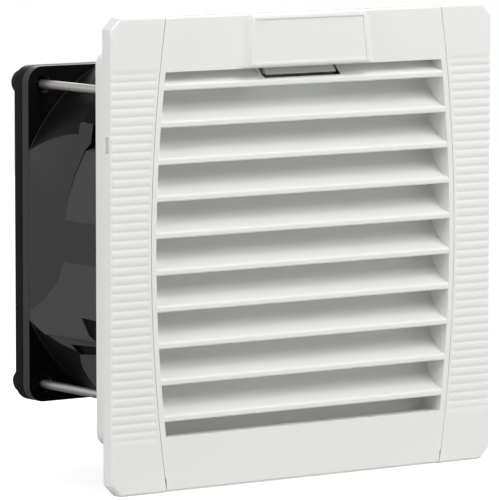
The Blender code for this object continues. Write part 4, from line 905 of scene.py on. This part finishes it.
# Rotor. A deep-drawn steel cup pressed on the ground shaft, which an open ring in the shaft's groove keeps in
# the bearings.
drawn_steel = metal("drawn_steel", (0.42, 0.42, 0.43), (0.36, 0.36, 0.37), 0.3, 700, 0, 0.25)
ground_steel = metal("ground_steel", (0.7, 0.7, 0.7), (0.62, 0.62, 0.62), 0.14, 1600, 0, 0.15)
finish_in(drawn_steel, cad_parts["rotor_cup"])
finish_in(ground_steel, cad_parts["rotor_shaft"])
finish_in(spring_steel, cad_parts["retaining_ring"])

# Impeller. A black moulding pressed over the rotor cup: a cup-shaped hub and seven twisted, cambered blades
# whose tips are cut to one circle, with a little play in the duct.
HUB_FRONT = 19.9 * mm
HUB_REAR = 46.9 * mm
HUB_OUTER = 20.0 * mm
HUB_INNER = 18.4 * mm
HUB_FLOOR = 21.5 * mm
HUB_BORE = 2.3 * mm
HUB_ROUND = 1.8 * mm
BLADE_COUNT = 7
BLADE_ROOT = 19.2 * mm
BLADE_TIP = 37.2 * mm
BLADE_MIDDLE_Y = 33.5 * mm
BLADE_DEPTH = 24 * mm
BLADE_THICK = 1.15 * mm
BLADE_CAMBER = 0.09
BLADE_NARROWING = 0.12
BLADE_TRIM = 0.985
TWIST_AT_ROOT = 32
TWIST_TO_TIP = 24
hub = [(HUB_BORE, HUB_FRONT)]
for i in range(9):
    angle = pi / 2 * i / 8
    hub.append((HUB_OUTER - HUB_ROUND + HUB_ROUND * sin(angle), HUB_FRONT + HUB_ROUND * (1 - cos(angle))))
hub += [(HUB_OUTER, HUB_REAR - 0.3 * mm), (HUB_OUTER - 0.3 * mm, HUB_REAR), (HUB_INNER, HUB_REAR)]
hub += [(HUB_INNER, HUB_FLOOR), (HUB_BORE, HUB_FLOOR)]
rotor_parts = [smooth(spun(hub), 35)]
for index in range(BLADE_COUNT):
    blade_bm = bmesh.new()
    bmesh.ops.create_grid(blade_bm, x_segments=12, y_segments=16, size=1)
    for vert in blade_bm.verts:
        share = (vert.co.x + 1) / 2
        along = vert.co.y / 2
        radius = BLADE_ROOT + (BLADE_TIP - HAIR - BLADE_ROOT) * share
        twist = radians(TWIST_AT_ROOT + TWIST_TO_TIP * share)
        chord = BLADE_DEPTH * (1 - BLADE_NARROWING * share) / cos(twist) * BLADE_TRIM
        across = BLADE_CAMBER * chord * (1 - 4 * along * along)
        y = BLADE_MIDDLE_Y + along * chord * cos(twist) + across * sin(twist)
        turn = (-along * chord * sin(twist) + across * cos(twist)) / radius + 2 * pi * index / BLADE_COUNT
        vert.co = (radius * cos(turn), y, radius * sin(turn))
    fan_blade = new_object(blade_bm)
    thick = fan_blade.modifiers.new("thickness", "SOLIDIFY")
    thick.thickness = BLADE_THICK
    thick.offset = 0
    settle(fan_blade)
    rotor_parts.append(soften(fan_blade, 0.35 * mm, 3, 60))
fan_wheel = joined("fan_wheel", *rotor_parts)
boolean(fan_wheel, "INTERSECT", along_y(circle(BLADE_TIP, 160), HUB_FRONT - mm, HUB_REAR + 2 * mm))
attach(fan_wheel, "rotor")
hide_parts("impeller")
wheel_black = moulded_plastic("impeller_black", (0.016, 0.016, 0.017), 0.36, 0.2, 3000, 0.2)
finish_in(wheel_black, fan_wheel)

# Rear guard. A black moulded finger guard: four rings and a cross in a square rim, and a raised seat at each
# corner for a screw's head.
GUARD_FRONT = 55.9 * mm
GUARD_REAR = 59.0 * mm
GUARD_OPENING = 37.7 * mm
RING_COUNT = 4
RING_PITCH = GUARD_OPENING / 4.5
RING_HALF = mm
RING_CHAMFER = 0.5 * mm
RING_ROUND = 0.7 * mm
RING_FRONT = GUARD_FRONT + 1.05 * mm
BAR_REACH = 38 * mm
SEAT_FRONT = 57.5 * mm
SEAT_REAR = 62.5 * mm
rim = along_y(rounded_square(FAN_HALF, FAN_CORNER), GUARD_FRONT, GUARD_REAR)
boolean(rim, "DIFFERENCE", along_y(circle(GUARD_OPENING, 128), GUARD_FRONT - mm, GUARD_REAR + mm))
boolean(rim, "DIFFERENCE", at_screws(SCREW_HOLE, GUARD_FRONT - mm, GUARD_REAR + mm))
guard_parts = [soften(rim, 0.4 * mm, 3)]
for index in range(1, RING_COUNT + 1):
    middle = RING_PITCH * index
    section = [(middle - RING_HALF, RING_FRONT + RING_CHAMFER), (middle - RING_CHAMFER, RING_FRONT)]
    section += [(middle + RING_CHAMFER, RING_FRONT), (middle + RING_HALF, RING_FRONT + RING_CHAMFER)]
    for i in range(9):
        angle = pi * i / 8
        section.append((middle + RING_HALF * cos(angle), GUARD_REAR - RING_ROUND + RING_ROUND * sin(angle)))
    guard_parts.append(smooth(spun(section, 128), 50))
for quarter in range(2):
    bar = block(-BAR_REACH, BAR_REACH, RING_FRONT + 0.3 * mm, GUARD_REAR - 0.3 * mm, -RING_HALF, RING_HALF)
    guard_parts.append(soften(quarter_turned(bar, quarter), 0.4 * mm, 3))
for side_x, side_z in CORNERS.values():
    seat = [(SCREW_HOLE, SEAT_FRONT), (3.6 * mm, SEAT_FRONT), (3.6 * mm, GUARD_REAR), (3.3 * mm, 59.6 * mm)]
    seat += [(3.0 * mm, 60.4 * mm), (3.0 * mm, SEAT_REAR - 0.4 * mm), (2.6 * mm, SEAT_REAR)]
    seat.append((SCREW_HOLE, SEAT_REAR))
    guard_parts.append(smooth(spun(seat, 48, side_x * SCREW_AT, side_z * SCREW_AT), 35))
finger_guard = joined("finger_guard", *guard_parts)
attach(finger_guard, "base")
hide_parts("rear_guard")
guard_black = black_plastic("guard_black", (0.006, 0.006, 0.0065), 0.55, 0.25, 3000, 0.35, 0.06)
finish_in(guard_black, finger_guard)

# Screws. Four long zinc-plated screws that go through the guard and the fan's open corners into the base
# frame's bosses, with domed cross-recessed heads.
SCREW_TIP = 12 * mm
SHANK_RADIUS = 1.05 * mm
HEAD_FRONT = 62.8 * mm
HEAD_RADIUS = 2.2 * mm
HEAD_DOME_Y = 63.1 * mm
HEAD_DOME = 1.5 * mm
CROSS_REACH = 1.15 * mm
CROSS_HALF = 0.28 * mm
CROSS_FLOOR = 63.4 * mm
zinc = metal("zinc_plate", (0.42, 0.41, 0.395), (0.35, 0.34, 0.325), 0.34, 500, 0, 0.12)
for corner, (side_x, side_z) in CORNERS.items():
    x, z = side_x * SCREW_AT, side_z * SCREW_AT
    outline = [(0, SCREW_TIP), (0.5 * mm, SCREW_TIP), (SHANK_RADIUS, 13.1 * mm), (SHANK_RADIUS, HEAD_FRONT)]
    outline += [(2.0 * mm, HEAD_FRONT), (HEAD_RADIUS, 63.0 * mm)]
    for i in range(9):
        angle = pi / 2 * i / 8
        outline.append((HEAD_RADIUS * cos(angle), HEAD_DOME_Y + HEAD_DOME * sin(angle)))
    screw = spun(outline, 48, x, z, closed=False)
    for quarter in range(2):
        slot = block(-CROSS_REACH, CROSS_REACH, CROSS_FLOOR, 66 * mm, -CROSS_HALF, CROSS_HALF)
        slot = quarter_turned(slot, quarter)
        slot.data.transform(Matrix.Translation((x, 0, z)))
        boolean(screw, "DIFFERENCE", slot)
    smooth(screw, 35)
    screw.name = f"long_screw_{corner}"
    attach(screw, "base")
    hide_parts(f"fan_screw_{corner}")
    finish_in(zinc, screw)

# Floor, lights and camera. A white studio floor that keeps a faint shadow, broad soft lamps in front, above and
# at the left, weak ones at the right and behind, and the photograph's long lens.
FLOOR_Z = -54.6 * mm
FLOOR_GLOW = 0.75
floor_bm = bmesh.new()
bmesh.ops.create_grid(floor_bm, x_segments=1, y_segments=1, size=0.7)
bmesh.ops.translate(floor_bm, verts=floor_bm.verts, vec=(0, 0, FLOOR_Z))
floor = new_object(floor_bm, "floor")
pale, pale_shader = plain_material("pale_floor")
pale_shader.inputs["Base Color"].default_value = (0.62, 0.62, 0.62, 1)
pale_shader.inputs["Roughness"].default_value = 0.9
pale_shader.inputs["Emission Color"].default_value = (1, 1, 1, 1)
seen_floor = pale.node_tree.nodes.new("ShaderNodeLightPath")
lift = value_of(pale.node_tree, "MULTIPLY", seen_floor.outputs["Is Camera Ray"], FLOOR_GLOW)
pale.node_tree.links.new(lift, pale_shader.inputs["Emission Strength"])
floor.data.materials.append(pale)


def lamp(name, place, size, power):
    """A square lamp that points at the fan's front; its power is in watts."""
    data = bpy.data.lights.new(name, "AREA")
    data.size = size
    data.energy = power
    obj = bpy.data.objects.new(name, data)
    obj.location = place
    obj.rotation_euler = (-Vector(place)).to_track_quat("-Z", "Y").to_euler()
    bpy.context.scene.collection.objects.link(obj)


lamp("key", (0.18, -0.684, 0.792), 0.65, 6.5)
lamp("overhead", (0.07, -0.36, 0.97), 0.65, 3.7)
lamp("side", (-1.6, -0.1, 0.5), 1.0, 16)
lamp("right", (1.1, -1.0, 0.3), 0.9, 4.4)
lamp("back", (0.9, 1.3, 0.7), 0.9, 9)

SKY_LIGHT = 0.03
SKY_SEEN = 1.0
world = bpy.data.worlds.new("studio")
world.use_nodes = True
bpy.context.scene.world = world
world_nodes, world_links = world.node_tree.nodes, world.node_tree.links
sky = world_nodes["Background"]
sky.inputs["Color"].default_value = (1, 1, 1, 1)
path = world_nodes.new("ShaderNodeLightPath")
seen = value_of(world.node_tree, "MAXIMUM", path.outputs["Is Camera Ray"], path.outputs["Is Glossy Ray"])
strength = world_nodes.new("ShaderNodeMapRange")
strength.inputs["To Min"].default_value = SKY_LIGHT
strength.inputs["To Max"].default_value = SKY_SEEN
world_links.new(seen, strength.inputs["Value"])
world_links.new(strength.outputs["Result"], sky.inputs["Strength"])

LENS = 359.2
SENSOR = 36
CAMERA_PLACE = (-0.681953, -0.933244, 0.11969)
CAMERA_AIM = Vector((0.5791, 0.8086, -0.1042))
camera_data = bpy.data.cameras.new("camera")
camera_data.lens = LENS
camera_data.sensor_width = SENSOR
camera = bpy.data.objects.new("camera", camera_data)
camera.location = CAMERA_PLACE
camera.rotation_euler = CAMERA_AIM.to_track_quat("-Z", "Y").to_euler()
bpy.context.scene.collection.objects.link(camera)
bpy.context.scene.camera = camera
bpy.context.scene.view_settings.view_transform = "Standard"
